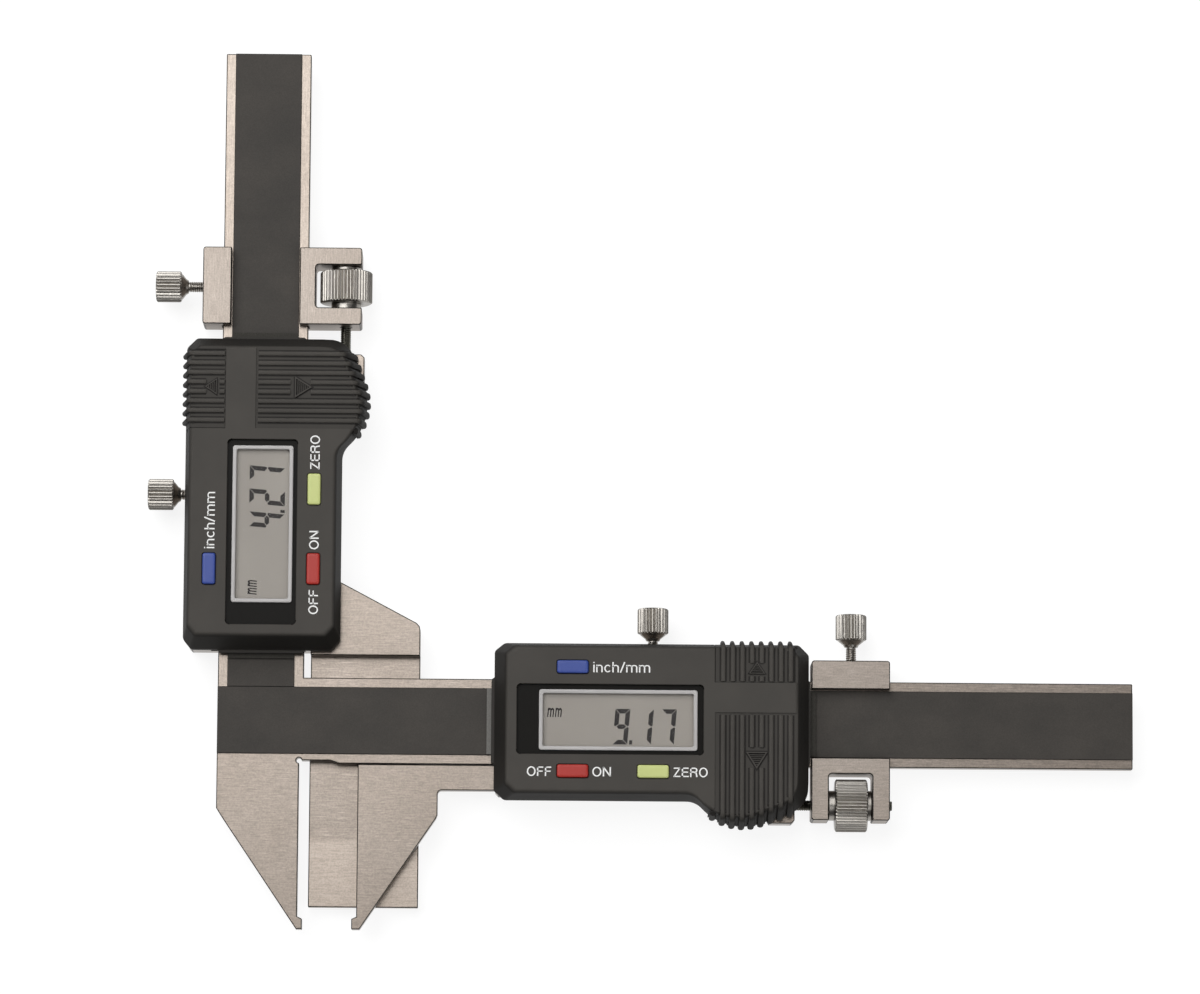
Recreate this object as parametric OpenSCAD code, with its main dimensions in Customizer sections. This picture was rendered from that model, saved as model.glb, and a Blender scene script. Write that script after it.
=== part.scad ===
// Digital gear tooth caliper: an L-shaped steel frame with two digital heads.
// The horizontal head carries the movable jaw and reads the tooth's width.
// The vertical head carries the tongue and reads the tooth's height.
// Origin: the tip corner of the fixed jaw's measuring face, in the middle of the frame's thickness.
// +X runs along the horizontal beam, +Y up the vertical beam, +Z towards the displays.

/* [Frame] */
// Width of both beams
beam_w = 16; // [15:0.5:18]
// Thickness of the frame and of the movable jaw
plate_t = 3; // [2.5:0.1:3.4]
// Right end of the horizontal beam, from the fixed jaw's measuring face
beam_reach = 154.4; // [152:0.1:180]
// Top end of the vertical beam, above the jaw tips
beam_top = 165; // [160:0.5:190]
// Depth of the jaws, from their tips up to the horizontal beam
jaw_depth = 30.85; // [28:0.05:34]
// How far the vertical beam's inner edge lies behind the measuring face
beam_setback = 0.2; // [0.1:0.05:0.5]
// How far the relieved sides of both jaws lie behind their measuring tips
jaw_relief = 0.9; // [0.5:0.05:1.2]
// Height of the measuring tips
tip_h = 1.95; // [1.5:0.05:3]
// Width of the flat under each tip
tip_w = 1.1; // [0.8:0.05:1.6]
// Height at which the fixed jaw's outer side starts to slope
shoulder_y = 22.4; // [18:0.1:24]
// Depth of the grinding relief under the horizontal beam
relief_d = 0.55; // [0.3:0.05:0.8]
// Length of the grinding relief under the horizontal beam
relief_len = 5; // [3:0.1:7]

/* [Scales] */
// Width of the black scale strips
strip_w = 12.5; // [10:0.1:13]
// Thickness of the black scale strips
strip_t = 0.4; // [0.3:0.05:0.5]

/* [Readings at rest] */
// Tooth width shown by the horizontal head
width_reading = 9.17; // [1:0.01:30]
// Tooth height shown by the vertical head
height_reading = 4.27; // [0.5:0.01:20]

/* [Movable jaw] */
// Width of the movable jaw
jaw_w = 15.8; // [12:0.1:18]
// Height of the arm that joins the jaw to its slider
arm_h = 4.75; // [4:0.05:5.2]
// Height at which the movable jaw's outer side starts to slope
jaw_shoulder_y = 21.4; // [18:0.1:23]
// From the movable jaw's measuring face to the horizontal head
jaw_to_head = 26.2; // [25:0.1:30]

/* [Tongue] */
// Width of the tongue
tongue_w = 20.45; // [18:0.05:22]
// Thickness of the tongue's blade, which slides behind the frame
tongue_t = 2; // [1.6:0.1:2.2]
// Gap between the fixed jaw's measuring face and the tongue
tongue_gap = 1; // [0.7:0.05:1.5]
// Height of the tongue's thick holder at its outer edge
holder_side_h = 4.8; // [3:0.1:7]
// Rise of the holder's sloping upper edge
holder_rise = 8.4; // [6:0.1:10]
// From the tongue's step to the vertical head
step_to_head = 0.6; // [0.5:0.05:2]

/* [Sliders] */
// Half width of the steel slider
slider_half = 13.6; // [13.4:0.1:14]
// Back face of the sliders, behind the frame's middle plane
slider_back = 5; // [4.97:0.01:5.5]
// Front face of the sliders' guide lips
lip_front = 2.6; // [2.4:0.05:3]
// Overlap of the guide lips on the beam
lip_over = 1.5; // [1:0.1:1.6]
// Thickness of the gib strip
gib_t = 1.2; // [0.9:0.05:1.5]
// Width of the lug that holds the fine-adjust rod
lug_w = 4.8; // [4:0.1:5.5]
// How far the lug's outer side lies from the beam's middle line
lug_reach = 18.65; // [17.5:0.05:19]

/* [Digital heads] */
// Length of the moulded housing along the beam
head_len = 58.5; // [58:0.1:60]
// Housing side without the hump, from the beam's middle line
head_plain = 14.5; // [14.2:0.05:15]
// Housing side with the hump, from the beam's middle line
head_hump = 14.75; // [14.4:0.05:15]
// Front face of the housing
head_face = 9.5; // [9.3:0.05:10]
// Height of the upright skirt round the housing's foot
skirt_h = 1.6; // [1:0.1:2]
// Lean of the housing's end walls, from skirt to face
end_lean = 2.2; // [1.5:0.05:2.4]
// Lean of the housing's long walls, from skirt to face
side_lean = 1; // [0.6:0.05:1.2]
// Length of the chamfered corners
corner_cut = 1.9; // [1:0.1:2.4]
// Thickness of the housing's roof and walls
shell_t = 1.2; // [1:0.05:1.4]
// Main radius of the thumb hump
hump_r = 10.4; // [9.8:0.05:10.8]
// Small radius of the thumb hump, at the housing's end
hump_end_r = 4.75; // [4.2:0.05:5]
// Radius of the hollow corner between hump and side
hump_fillet = 4; // [3:0.1:5]
// Spacing of the grip ribs
rib_pitch = 1.79; // [1.7:0.01:1.8]
// Width of a grip rib
rib_w = 0.9; // [0.6:0.05:1]
// Height of the grip ribs above the front face
rib_h = 0.15; // [0.05:0.01:0.3]
// Depth of the recesses that the grip ribs stand in
field_d = 0.2; // [0.1:0.01:0.3]
// How far the grip ribs stand out at the sides
rib_out = 0.55; // [0.3:0.05:0.7]
// Number of grip ribs on each field
rib_count = 8; // [6:1:8]

/* [Display] */
// Black window recess before the pale frame, towards the head's display end
window_near = 4.1; // [3.5:0.1:4.5]
// Black window recess past the pale frame's other end
window_far = 1.1; // [0.8:0.05:1.6]
// Black window recess at each long side of the pale frame
window_side = 0.85; // [0.65:0.05:1.05]
// Depth of the black window recess
window_d = 0.8; // [0.5:0.05:0.9]
// Length of the display's pale frame
frame_l = 29.4; // [28:0.1:30]
// Width of the display's pale frame
frame_w = 11.3; // [11:0.05:12]
// Width of the pale frame's rim
frame_rim = 0.75; // [0.6:0.05:0.9]
// Thickness of the liquid crystal glass
glass_t = 1.6; // [1.2:0.1:2]
// Thickness of the circuit board
board_t = 1; // [0.8:0.1:1.2]

/* [Buttons] */
// Length of a button
button_l = 5.8; // [5:0.1:6.2]
// Width of a button
button_w = 2.4; // [2:0.1:2.6]
// How far a button stands out of the face
button_out = 0.45; // [0.4:0.01:0.6]
// Gap round a button
button_gap = 0.1; // [0.08:0.01:0.2]

/* [Battery] */
// Radius of the button cell
cell_r = 5.8; // [5.5:0.05:5.8]
// Thickness of the button cell
cell_t = 5.4; // [5:0.1:5.4]
// Length of the battery door along the housing
door_l = 14.8; // [14.4:0.1:15]

/* [Screws and fine adjustment] */
// Radius of the M2 screws and of the fine-adjust rod
screw_r = 1; // [0.9:0.01:1.1]
// Radius of the knurled screw knobs
knob_r = 2.9; // [2.5:0.05:3.2]
// Length of the knurled screw knobs
knob_l = 4.9; // [4:0.1:6]
// Length of the carriage along the beam
carriage_l = 14.6; // [14:0.1:16]
// Thickness of the carriage
carriage_t = 8; // [7:0.1:8.4]
// Carriage side with the clamp screw, from the beam's middle line
carriage_plain = 11.75; // [11:0.05:13]
// Carriage side with the nut, from the beam's middle line
carriage_nut = 18.05; // [17.5:0.05:18.6]
// Distance of the fine-adjust rod from the beam's middle line
rod_v = 15.05; // [15:0.01:15.4]
// Length of the fine-adjust rod, from the lug's near side
rod_len = 23; // [22:0.1:25]
// Radius of the knurled nut
nut_r = 4.9; // [4.6:0.01:4.95]
// Width of the nut's knurled wheel
nut_w = 6.1; // [5:0.1:6.4]
// Width of the window that the nut turns in
nut_window = 8.1; // [7.9:0.05:8.6]
// Gap between the horizontal head and its carriage at rest
carriage_gap_h = 0.55; // [0.5:0.05:3]
// Gap between the vertical head and its carriage at rest
carriage_gap_v = 2.9; // [0.5:0.05:4]

/* [Clearances] */
// Running clearance, all round, of screws, rods and guides
run = 0.05; // [0.03:0.01:0.08]
// Clearance of the parts that slide past each other in open space
pass_gap = 0.1; // [0.08:0.01:0.2]

/* [Hidden] */
$fn = 48;

// Small overlap for cuts that run past a face
e = 0.05;
half_t = plate_t / 2;
half_w = beam_w / 2;
strip_front = half_t + strip_t;

// Middle lines of the two beams
beam_x = -beam_setback - half_w;
beam_y = jaw_depth + half_w;

// Origins of the two heads: on the beam's middle line, at the housing's display end
head_x = width_reading + jaw_to_head;
head_y = height_reading + jaw_depth + beam_w + step_to_head;

// Guide channel of sliders and carriages
channel = half_w + run;
channel_z = half_t + run;
slot_half = half_w - lip_over;

// Housing levels: foot, top of the skirt, start of the edge rounding
foot = lip_front;
skirt_top = foot + skirt_h;
edge_h = 0.5;
edge_in = 0.45;
shoulder = head_face - edge_h;
side_mid = (head_plain - head_hump) / 2;
head_half = (head_plain + head_hump) / 2;
roof_under = head_face - shell_t;

// Display, from the head's display end
display_u = 23;
display_v = -0.2;
window_l = frame_l + window_near + window_far;
window_w = frame_w + 2 * window_side;
window_u = display_u + (window_far - window_near) / 2;
window_v = display_v + 0.1;
window_floor = head_face - window_d;

// Grip fields, up to the head's far end
field_start = head_len - 17.6;
first_rib = field_start + 1.5;
band_low = 1.35;
door_v = 7;
arrow_small_v = 8.6;
arrow_big_v = -5.95;
door_sill = foot + 0.45;
rail_z = foot + 3.2;
rail_t = 0.8;

// Button places: [u, v]
unit_at = [14.5, 9.6];
power_at = [14.6, -9.75];
zero_at = [field_start - 11.4, -9.75];

// Reach of cuts that run out through the housing's sides and top
side_cut = 2 * head_plain + 1;
top_cut = 2 * head_face + 1;

// Inside room: its near end wall, its half width, and the board's gap to both
inside_u = 2.8;
inside_v = 12.4;
board_gap = 0.2;

// How far the lips stand out at both ends
lip_near = 0.55;
lip_far = 0.35;

// Battery place
cell_u = field_start + 7.7;
cell_v = 0.9;
cell_z = foot + 0.6;
tab_t = 0.2;

// Hump circles: [u, v]
hump_at = [head_len - 12.2, -8.9];
hump_end_at = [head_len - hump_end_r - 0.05, -12.2];

// Housing screws: [u, v] of one, mirrored about the beam's middle line
screw_u = [inside_u + 1.6, field_start - 2.3];
screw_v = 11.3;
boss_r = 1.8;

// Electronics levels
board_z = foot + run;
board_top = board_z + board_t;
board_end = field_start - shell_t - 2 * board_gap;
glass_z = window_floor - 0.45 - glass_t;
dome_h = 0.35;
button_low = board_top + dome_h + 0.45;

// Lock screw and gib screws, from the head's display end
lock_u = 29.5;
gib_inset = 10;
gib_u = [gib_inset, head_len - gib_inset - 0.5];
gib_wall = half_w + run + gib_t + run;
lock_cone = head_plain + 0.9;

// Fine adjustment, from the carriage's near side
carriage_u_h = head_len + carriage_gap_h;
carriage_u_v = head_len + carriage_gap_v;
clamp_at = 7.5;
clamp_cone = 14.5;
pad_t = 0.8;
pad_l = 6;
window_at = (carriage_l - nut_window) / 2;
nut_at = window_at + run + 1.15;
window_low = rod_v - nut_r - 0.75;
lug_end = head_len - 2.5;

// Helpers

module at_h() translate([head_x, beam_y, 0]) children();

module at_v() translate([beam_x, head_y, 0]) rotate([0, 0, 90]) children();

module slab(z0, z1) translate([0, 0, z0]) linear_extrude(height = z1 - z0) children();

module block(lo, hi) translate(lo) cube(hi - lo);

module along_u(u0, u1, r) translate([u0, 0, 0]) rotate([0, 90, 0]) cylinder(r = r, h = u1 - u0);

module along_v(v0, v1, r) translate([0, v0, 0]) rotate([-90, 0, 0]) cylinder(r = r, h = v1 - v0);

module rounded(l, w, r) offset(r = r) square([l - 2 * r, w - 2 * r], center = true);

// Straight knurl: a ring of pointed teeth
module knurl(r, teeth, depth) {
  polygon([
    for (i = [0 : 2 * teeth - 1])
      let (a = 180 / teeth * i, rr = r - (i % 2) * depth)
        [rr * cos(a), rr * sin(a)]
  ]);
}

// Knurled wheel along +Z with chamfered rims
module knurled_wheel(r, h, teeth, depth, rim) {
  intersection() {
    linear_extrude(height = h) knurl(r, teeth, depth);
    union() {
      cylinder(r1 = r - rim, r2 = r + e, h = rim + e);
      translate([0, 0, rim + e]) cylinder(r = r + e, h = h - 2 * (rim + e));
      translate([0, 0, h - rim - e]) cylinder(r1 = r + e, r2 = r - rim, h = rim + e);
    }
  }
}

// Thumb screw along +V: shank, cone and knurled knob
module thumb_screw(tip_v, cone_v) {
  cone_h = 1.3;
  rotate([-90, 0, 0]) {
    translate([0, 0, tip_v]) cylinder(r = screw_r, h = cone_v - tip_v);
    translate([0, 0, cone_v]) cylinder(r1 = screw_r + 0.35, r2 = knob_r - 0.5, h = cone_h);
    translate([0, 0, cone_v + cone_h]) knurled_wheel(knob_r, knob_l, 26, 0.22, 0.4);
  }
}

// Frame

module frame_outline() {
  left = beam_x - half_w;
  inner = -jaw_relief;
  difference() {
    polygon([
      [left, beam_top],
      [left, shoulder_y],
      [left + 1, shoulder_y - 1.6],
      [-tip_w, 0],
      [0, 0],
      [0, tip_h],
      [inner, tip_h + 0.4],
      [inner, jaw_depth + relief_d],
      [relief_len, jaw_depth + relief_d],
      [relief_len + 1.5, jaw_depth],
      [beam_reach, jaw_depth],
      [beam_reach, jaw_depth + beam_w],
      [-beam_setback, jaw_depth + beam_w],
      [-beam_setback, beam_top]
    ]);
    translate([inner, jaw_depth + relief_d]) circle(r = 0.5);
  }
}

module main_frame() color([0.74, 0.69, 0.65]) slab(-half_t, half_t) frame_outline();

module horizontal_scale() {
  left = beam_x - half_w;
  color([0.2, 0.19, 0.18])
    block([left, beam_y - strip_w / 2, half_t], [beam_reach, beam_y + strip_w / 2, strip_front]);
}

module vertical_scale() {
  left = beam_x - strip_w / 2;
  low = beam_y + strip_w / 2;
  color([0.2, 0.19, 0.18])
    block([left, low, half_t], [left + strip_w, beam_top, strip_front]);
}

// Sliders, in the head's own frame: u along the beam, v across it

module lug() {
  difference() {
    slab(-2.5, lip_front - pass_gap)
      polygon([
        [lug_end - lug_w - 1.2, -slider_half + 1],
        [lug_end + 1.6, -slider_half + 1],
        [lug_end, -slider_half - 1],
        [lug_end, -lug_reach + 0.6],
        [lug_end - 0.6, -lug_reach],
        [lug_end - lug_w, -lug_reach]
      ]);
    translate([0, -rod_v, 0]) along_u(lug_end - lug_w - 4, lug_end + 2, screw_r + run);
  }
}

module slider_block() {
  u0 = 0.3;
  u1 = head_len - 0.3;
  c = 0.6;
  difference() {
    slab(-slider_back, lip_front)
      polygon([
        [u0, -slider_half + c], [u0 + c, -slider_half],
        [u1 - c, -slider_half], [u1, -slider_half + c],
        [u1, slider_half - c], [u1 - c, slider_half],
        [u0 + c, slider_half], [u0, slider_half - c]
      ]);
    slider_channel(u0, u1);
    slider_holes();
  }
}

module slider_channel(u0, u1) {
  block([u0 - 1, -channel, -channel_z], [u1 + 1, gib_wall, channel_z]);
  block([u0 - 1, -slot_half, 0], [u1 + 1, slot_half, lip_front + 1]);
}

module slider_holes() {
  translate([lock_u, 0, 0]) along_v(half_w, slider_half + 1, screw_r + run);
  for (u = gib_u)
    translate([u, 0, 0]) along_v(half_w, slider_half + 1, screw_r + run);
  for (u = screw_u, s = [-1, 1])
    translate([u, s * screw_v, 0]) {
      translate([0, 0, -slider_back - 1]) cylinder(r = screw_r + run, h = slider_back + lip_front + 2);
      translate([0, 0, -slider_back - 1]) cylinder(r = 2 + run, h = 2.2);
    }
}

module jaw_outline() {
  top = jaw_depth - pass_gap;
  arm_low = top - arm_h;
  corner_r = 0.75;
  x0 = width_reading;
  difference() {
    polygon([
      [x0, 0],
      [x0, tip_h],
      [x0 + jaw_relief, tip_h + 0.4],
      [x0 + jaw_relief, top],
      [head_x + 3, top],
      [head_x + 3, arm_low],
      [x0 + jaw_w + corner_r, arm_low],
      [x0 + jaw_w, arm_low - corner_r],
      [x0 + jaw_w, jaw_shoulder_y],
      [x0 + jaw_w - 0.3, jaw_shoulder_y - 0.7],
      [x0 + tip_w + 0.4, 0]
    ]);
    translate([x0 + jaw_w + corner_r, arm_low - corner_r]) circle(r = corner_r);
  }
}

module h_slider_jaw() {
  color([0.74, 0.69, 0.65])
    difference() {
      union() {
        at_h() slider_block();
        at_h() lug();
        slab(-half_t, half_t) jaw_outline();
      }
      at_h() translate([0, -rod_v, 0]) along_u(lug_end - lug_w - 0.5, lug_end + 3, screw_r + run);
    }
}

module tongue_outline(y0) {
  x0 = tongue_gap;
  x1 = x0 + tongue_w;
  polygon([[x0, y0], [x1, y0], [x1, step_y() + e], [x0, step_y() + e]]);
}

function step_y() = height_reading + jaw_depth + beam_w;

module holder_outline() {
  x0 = tongue_gap;
  x1 = x0 + tongue_w;
  y0 = step_y();
  side = y0 + holder_side_h;
  neck = -beam_setback + slider_half - half_w;
  polygon([
    [x0, y0],
    [x1, y0],
    [x1, side],
    [x1 - 0.15, side + 0.75],
    [x1 - 0.7, side + 1.35],
    [neck - 0.5, side + 1.35 + holder_rise],
    [x0, side + 1.35 + holder_rise]
  ]);
}

module v_slider_tongue() {
  blade_front = -half_t - pass_gap;
  color([0.74, 0.69, 0.65])
    difference() {
      union() {
        at_v() slider_block();
        at_v() lug();
        slab(blade_front - tongue_t, blade_front) tongue_outline(height_reading);
        slab(blade_front - tongue_t, half_t) holder_outline();
      }
      at_v() translate([0, -rod_v, 0]) along_u(lug_end - lug_w - 0.5, lug_end + 3, screw_r + run);
      at_v() translate([0, 0, 0]) slider_channel(0.3, head_len - 0.3);
      at_v() slider_holes();
    }
}

module head_gib() {
  color([0.72, 0.6, 0.38])
    block([2.5, half_w + run, -half_t], [head_len - 2.5, half_w + run + gib_t, half_t]);
}

module head_gib_screws() {
  color([0.5, 0.5, 0.5])
    for (u = gib_u)
      translate([u, 0, 0])
        difference() {
          along_v(half_w + run + gib_t, slider_half - 0.3, screw_r);
          block([-1.5, slider_half - 0.8, -0.2], [1.5, slider_half + 1, 0.2]);
        }
}

module head_lock_screw() {
  color([0.72, 0.72, 0.7]) translate([lock_u, 0, 0]) thumb_screw(half_w + run + gib_t + run, lock_cone);
}

module head_fine_rod() {
  u0 = lug_end - lug_w;
  color([0.3, 0.3, 0.27]) translate([0, -rod_v, 0]) along_u(u0, u0 + rod_len, screw_r);
}

// Housing

module hump_outline() {
  hull() {
    translate(hump_at) circle(r = hump_r);
    translate(hump_end_at) circle(r = hump_end_r);
  }
}

module head_outline() {
  c = corner_cut;
  offset(r = -hump_fillet) offset(delta = hump_fillet)
    union() {
      polygon([
        [0, -head_hump + c * 0.9], [c, -head_hump],
        [head_len - c, -head_hump], [head_len, -head_hump + c],
        [head_len, head_plain - c], [head_len - c, head_plain],
        [c, head_plain], [0, head_plain - c * 0.8]
      ]);
      hump_outline();
    }
}

// The housing's outer form, grown sideways and upwards for the ribs
module head_form(grow, up) {
  mid = [head_len / 2, side_mid];
  h1 = shoulder - skirt_top;
  part_h = h1 / (head_face - skirt_top);
  lean = [1 - 2 * end_lean / head_len * part_h, 1 - side_lean / head_half * part_h];
  edge = [1 - 2 * edge_in / head_len, 1 - edge_in / head_half];
  slab(foot, skirt_top) offset(delta = grow) head_outline();
  translate([mid[0], mid[1], skirt_top]) {
    linear_extrude(height = h1, scale = lean, slices = 1)
      translate(-mid) offset(delta = grow) head_outline();
    translate([0, 0, h1])
      linear_extrude(height = edge_h + up, scale = edge, slices = 1)
        scale(lean) translate(-mid) offset(delta = grow) head_outline();
  }
}

// Shallow recesses that the grip ribs stand in
module rib_fields() {
  low = head_face - field_d;
  block([field_start, door_v, low], [head_len, side_cut, top_cut]);
  block([field_start, -side_cut, low], [head_len, band_low, top_cut]);
}

module rib_slabs(w) {
  mid = first_rib + (rib_count / 2 - 0.5) * rib_pitch;
  room = rib_pitch + 0.05;
  difference() {
    for (k = [0 : rib_count - 1])
      translate([first_rib + k * rib_pitch - w / 2, 0, 0]) {
        block([0, door_v, foot], [w, side_cut, top_cut]);
        block([0, -side_cut, foot], [w, band_low, top_cut]);
      }
    // The ribs leave room for the arrow marks
    block([mid - room, arrow_small_v - 0.4, foot], [mid + room, arrow_small_v + 1.8, top_cut]);
    block([mid - room, arrow_big_v - 2.7, foot], [mid + room, arrow_big_v + 0.5, top_cut]);
  }
  translate([first_rib - rib_pitch, 0, 0]) block([-w / 2, -side_cut, foot], [w / 2, -head_hump - 1, shoulder]);
  translate([mid, arrow_small_v, 0]) slab(foot, top_cut) polygon([[-1.5, 0], [1.5, 0], [0, 2.2]]);
  translate([mid, arrow_big_v, 0]) slab(foot, top_cut) polygon([[-2, 0], [0, -3.15], [2, 0]]);
}

module head_body() {
  difference() {
    head_form(0, 0);
    rib_fields();
  }
  intersection() {
    head_form(rib_out, rib_h);
    rib_slabs(rib_w);
  }
}

// Lips at both ends that keep dust off the scale
module end_lips() {
  wide = half_w + 0.2;
  slab(foot, skirt_top)
    polygon([
      [-lip_near, -wide + 0.3], [-lip_near, wide - 0.3], [1, wide + 0.5],
      [head_len - 1, wide + 0.5], [head_len + lip_far, wide - 0.6],
      [head_len + lip_far, -wide + 0.6], [head_len - 1, -wide - 0.5], [1, -wide - 0.5]
    ]);
}

// The battery door's space, with a rail along both ends
module door_space(gap) {
  rail = 0.5;
  block([field_start - gap, door_v - gap, door_sill - gap], [field_start + door_l + gap, side_cut, top_cut]);
  block(
    [field_start - rail - gap, door_v - gap, rail_z - gap],
    [field_start + door_l + rail + gap, side_cut, rail_z + rail_t + gap]
  );
}

module button_plan(at, grow) {
  translate(at) rounded(button_l + 2 * grow, button_w + 2 * grow, 0.4 + grow);
}

module housing_inside() {
  // Room for board, glass and buttons
  difference() {
    block([inside_u, -inside_v, foot - 1], [field_start - shell_t, inside_v, roof_under]);
    for (u = screw_u, s = [-1, 1])
      translate([u, s * screw_v, foot - 2]) cylinder(r = boss_r, h = 12);
  }
  slab(glass_z - run, roof_under) display_plan(0.7 + run);
  // Battery bay, with a way to the door and one to the board
  bay_r = cell_r + 0.15;
  bay_low = cell_z - tab_t;
  bay_top = cell_z + cell_t + pass_gap;
  translate([cell_u, cell_v, bay_low]) cylinder(r = bay_r, h = bay_top - bay_low);
  block([cell_u - bay_r, cell_v, bay_low], [cell_u + bay_r, door_v + 1, bay_top]);
  block([field_start - 2, cell_v - 2, bay_low], [cell_u, cell_v + 2, roof_under - 1]);
}

module head_housing() {
  color([0.27, 0.26, 0.25])
    difference() {
      union() {
        head_body();
        end_lips();
      }
      housing_inside();
      door_space(run);
      slab(window_floor, top_cut) translate([window_u, window_v]) rounded(window_l, window_w, 0.8);
      slab(foot, top_cut) display_plan(-0.45);
      slab(foot, top_cut) {
        button_plan(unit_at, button_gap);
        button_plan(power_at, button_gap);
        button_plan(zero_at, button_gap);
      }
      for (u = screw_u, s = [-1, 1])
        translate([u, s * screw_v, foot - 1]) cylinder(r = screw_r - 0.15, h = 5);
    }
}

module head_housing_screws() {
  color([0.6, 0.6, 0.6])
    for (u = screw_u, s = [-1, 1])
      translate([u, s * screw_v, 0]) {
        difference() {
          translate([0, 0, -slider_back + 0.1]) cylinder(r = 2, h = 1.1);
          translate([0, 0, -slider_back]) {
            block([-1.3, -0.25, 0], [1.3, 0.25, 0.6]);
            block([-0.25, -1.3, 0], [0.25, 1.3, 0.6]);
          }
        }
        translate([0, 0, -slider_back + 1.2]) cylinder(r = screw_r, h = slider_back - 1.2 + lip_front);
        translate([0, 0, lip_front]) cylinder(r = screw_r - 0.15, h = 3.5);
      }
}

module head_battery_door() {
  color([0.27, 0.26, 0.25])
    difference() {
      intersection() {
        head_body();
        door_space(0);
      }
      block(
        [field_start + shell_t, door_v - 1, 0],
        [field_start + door_l - shell_t, head_plain - 1.9, roof_under]
      );
    }
}

module head_wipers() {
  half = half_w - lip_over - 0.35;
  color([0.45, 0.44, 0.42]) {
    block([-1.4, -half, strip_front + pass_gap / 2], [2, half, foot]);
    block([head_len - 2, -half, strip_front + pass_gap / 2], [head_len + 1.4, half, foot]);
  }
}

// Display and electronics

module display_plan(grow) {
  translate([display_u, display_v]) square([frame_l + 2 * grow, frame_w + 2 * grow], center = true);
}

module head_display_frame() {
  color([0.8, 0.78, 0.84])
    slab(window_floor, head_face - 0.3)
      translate([display_u, display_v])
        difference() {
          rounded(frame_l, frame_w, 0.5);
          rounded(frame_l - 2 * frame_rim, frame_w - 2 * frame_rim, 0.3);
        }
}

module head_display_glass() {
  color([0.68, 0.66, 0.63]) slab(glass_z, glass_z + glass_t) display_plan(0.7);
}

module head_display_lens() {
  color([0.85, 0.9, 0.92, 0.35])
    slab(window_floor, window_floor + 0.4)
      translate([display_u, display_v])
        rounded(frame_l - 2 * frame_rim - 2 * run, frame_w - 2 * frame_rim - 2 * run, 0.3);
}

module head_zebra_strips() {
  color([0.35, 0.35, 0.38])
    for (s = [-1, 1])
      translate([display_u, display_v + s * (frame_w / 2 - 0.3), board_top])
        block([-frame_l / 2, -0.5, 0], [frame_l / 2, 0.5, glass_z - board_top]);
}

module head_circuit_board() {
  near = inside_u + board_gap;
  far = board_end;
  side = inside_v - 2 * board_gap;
  color([0.12, 0.35, 0.2])
    difference() {
      slab(board_z, board_top)
        polygon([[near, -side], [far, -side], [far, side], [near, side]]);
      for (u = screw_u, s = [-1, 1])
        translate([u, s * screw_v, 0]) cylinder(r = boss_r + run, h = 10);
    }
}

module head_switch_domes() {
  color([0.8, 0.78, 0.7])
    for (p = [unit_at, power_at, zero_at])
      translate([p[0], p[1], board_top]) cylinder(r1 = 1.6, r2 = 0.8, h = dome_h);
}

module head_battery() {
  color([0.8, 0.8, 0.78])
    translate([cell_u, cell_v, cell_z]) {
      cylinder(r = cell_r - 0.6, h = 0.5);
      translate([0, 0, 0.5]) cylinder(r = cell_r, h = cell_t - 0.5);
    }
}

module head_battery_contacts() {
  edge = board_end;
  color([0.82, 0.72, 0.45]) {
    block([edge, cell_v - 1.2, cell_z - tab_t], [cell_u + 3, cell_v + 1.2, cell_z]);
    translate([0, cell_v + 0.8, 0])
      rotate([90, 0, 0])
        linear_extrude(height = 1.6)
          polygon([
            [edge - 3, board_top], [cell_u - cell_r - 0.2, board_top],
            [cell_u - cell_r - 0.02, cell_z + 3.2], [cell_u - cell_r - 0.22, cell_z + 3.2],
            [cell_u - cell_r - 0.4, board_top + tab_t], [edge - 3, board_top + tab_t]
          ]);
  }
}

module head_button(at, paint) {
  top = head_face + button_out;
  color(paint)
    translate([at[0], at[1], 0]) {
      slab(roof_under - 1, top - 0.2) rounded(button_l, button_w, 0.4);
      slab(top - 0.2, top) rounded(button_l - 0.3, button_w - 0.3, 0.3);
      slab(roof_under - 1, roof_under - pass_gap) rounded(button_l + 1, button_w + 0.8, 0.4);
      slab(button_low, roof_under - 1) rounded(2.4, 1.4, 0.3);
    }
}

// Fine-adjust carriage, u from its near side

module carriage_body() {
  l = carriage_l;
  z = carriage_t / 2;
  c = 0.3;
  difference() {
    slab(-z, z)
      polygon([
        [0, -carriage_nut + c], [c, -carriage_nut], [l - c, -carriage_nut], [l, -carriage_nut + c],
        [l, carriage_plain - c], [l - c, carriage_plain], [c, carriage_plain], [0, carriage_plain - c]
      ]);
    block([-1, -channel, -channel_z], [l + 1, channel, channel_z]);
    block([-1, -slot_half + 0.1, 0], [l + 1, slot_half - 0.1, z + 1]);
    block(
      [clamp_at - pad_l / 2 - run, 0, -half_t + 0.2 - run],
      [clamp_at + pad_l / 2 + run, channel + pad_t + run, half_t - 0.2 + run]
    );
    translate([clamp_at, 0, 0]) along_v(half_w, carriage_plain + 1, screw_r + run);
    slab(-z - 1, z + 1)
      translate([window_at + nut_window / 2, -window_low - carriage_nut])
        rounded(nut_window, 2 * carriage_nut, 0.6);
    translate([0, -rod_v, 0]) along_u(-1, l + 1, screw_r + run);
  }
}

module head_carriage(u) color([0.72, 0.68, 0.64]) translate([u, 0, 0]) carriage_body();

module head_clamp_screw(u) {
  color([0.72, 0.72, 0.7])
    translate([u + clamp_at, 0, 0]) thumb_screw(channel + pad_t + run, clamp_cone);
}

module head_brake_pad(u) {
  color([0.75, 0.6, 0.35])
    translate([u, 0, 0])
      block(
        [clamp_at - pad_l / 2, channel, -half_t + 0.2],
        [clamp_at + pad_l / 2, channel + pad_t, half_t - 0.2]
      );
}

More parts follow.
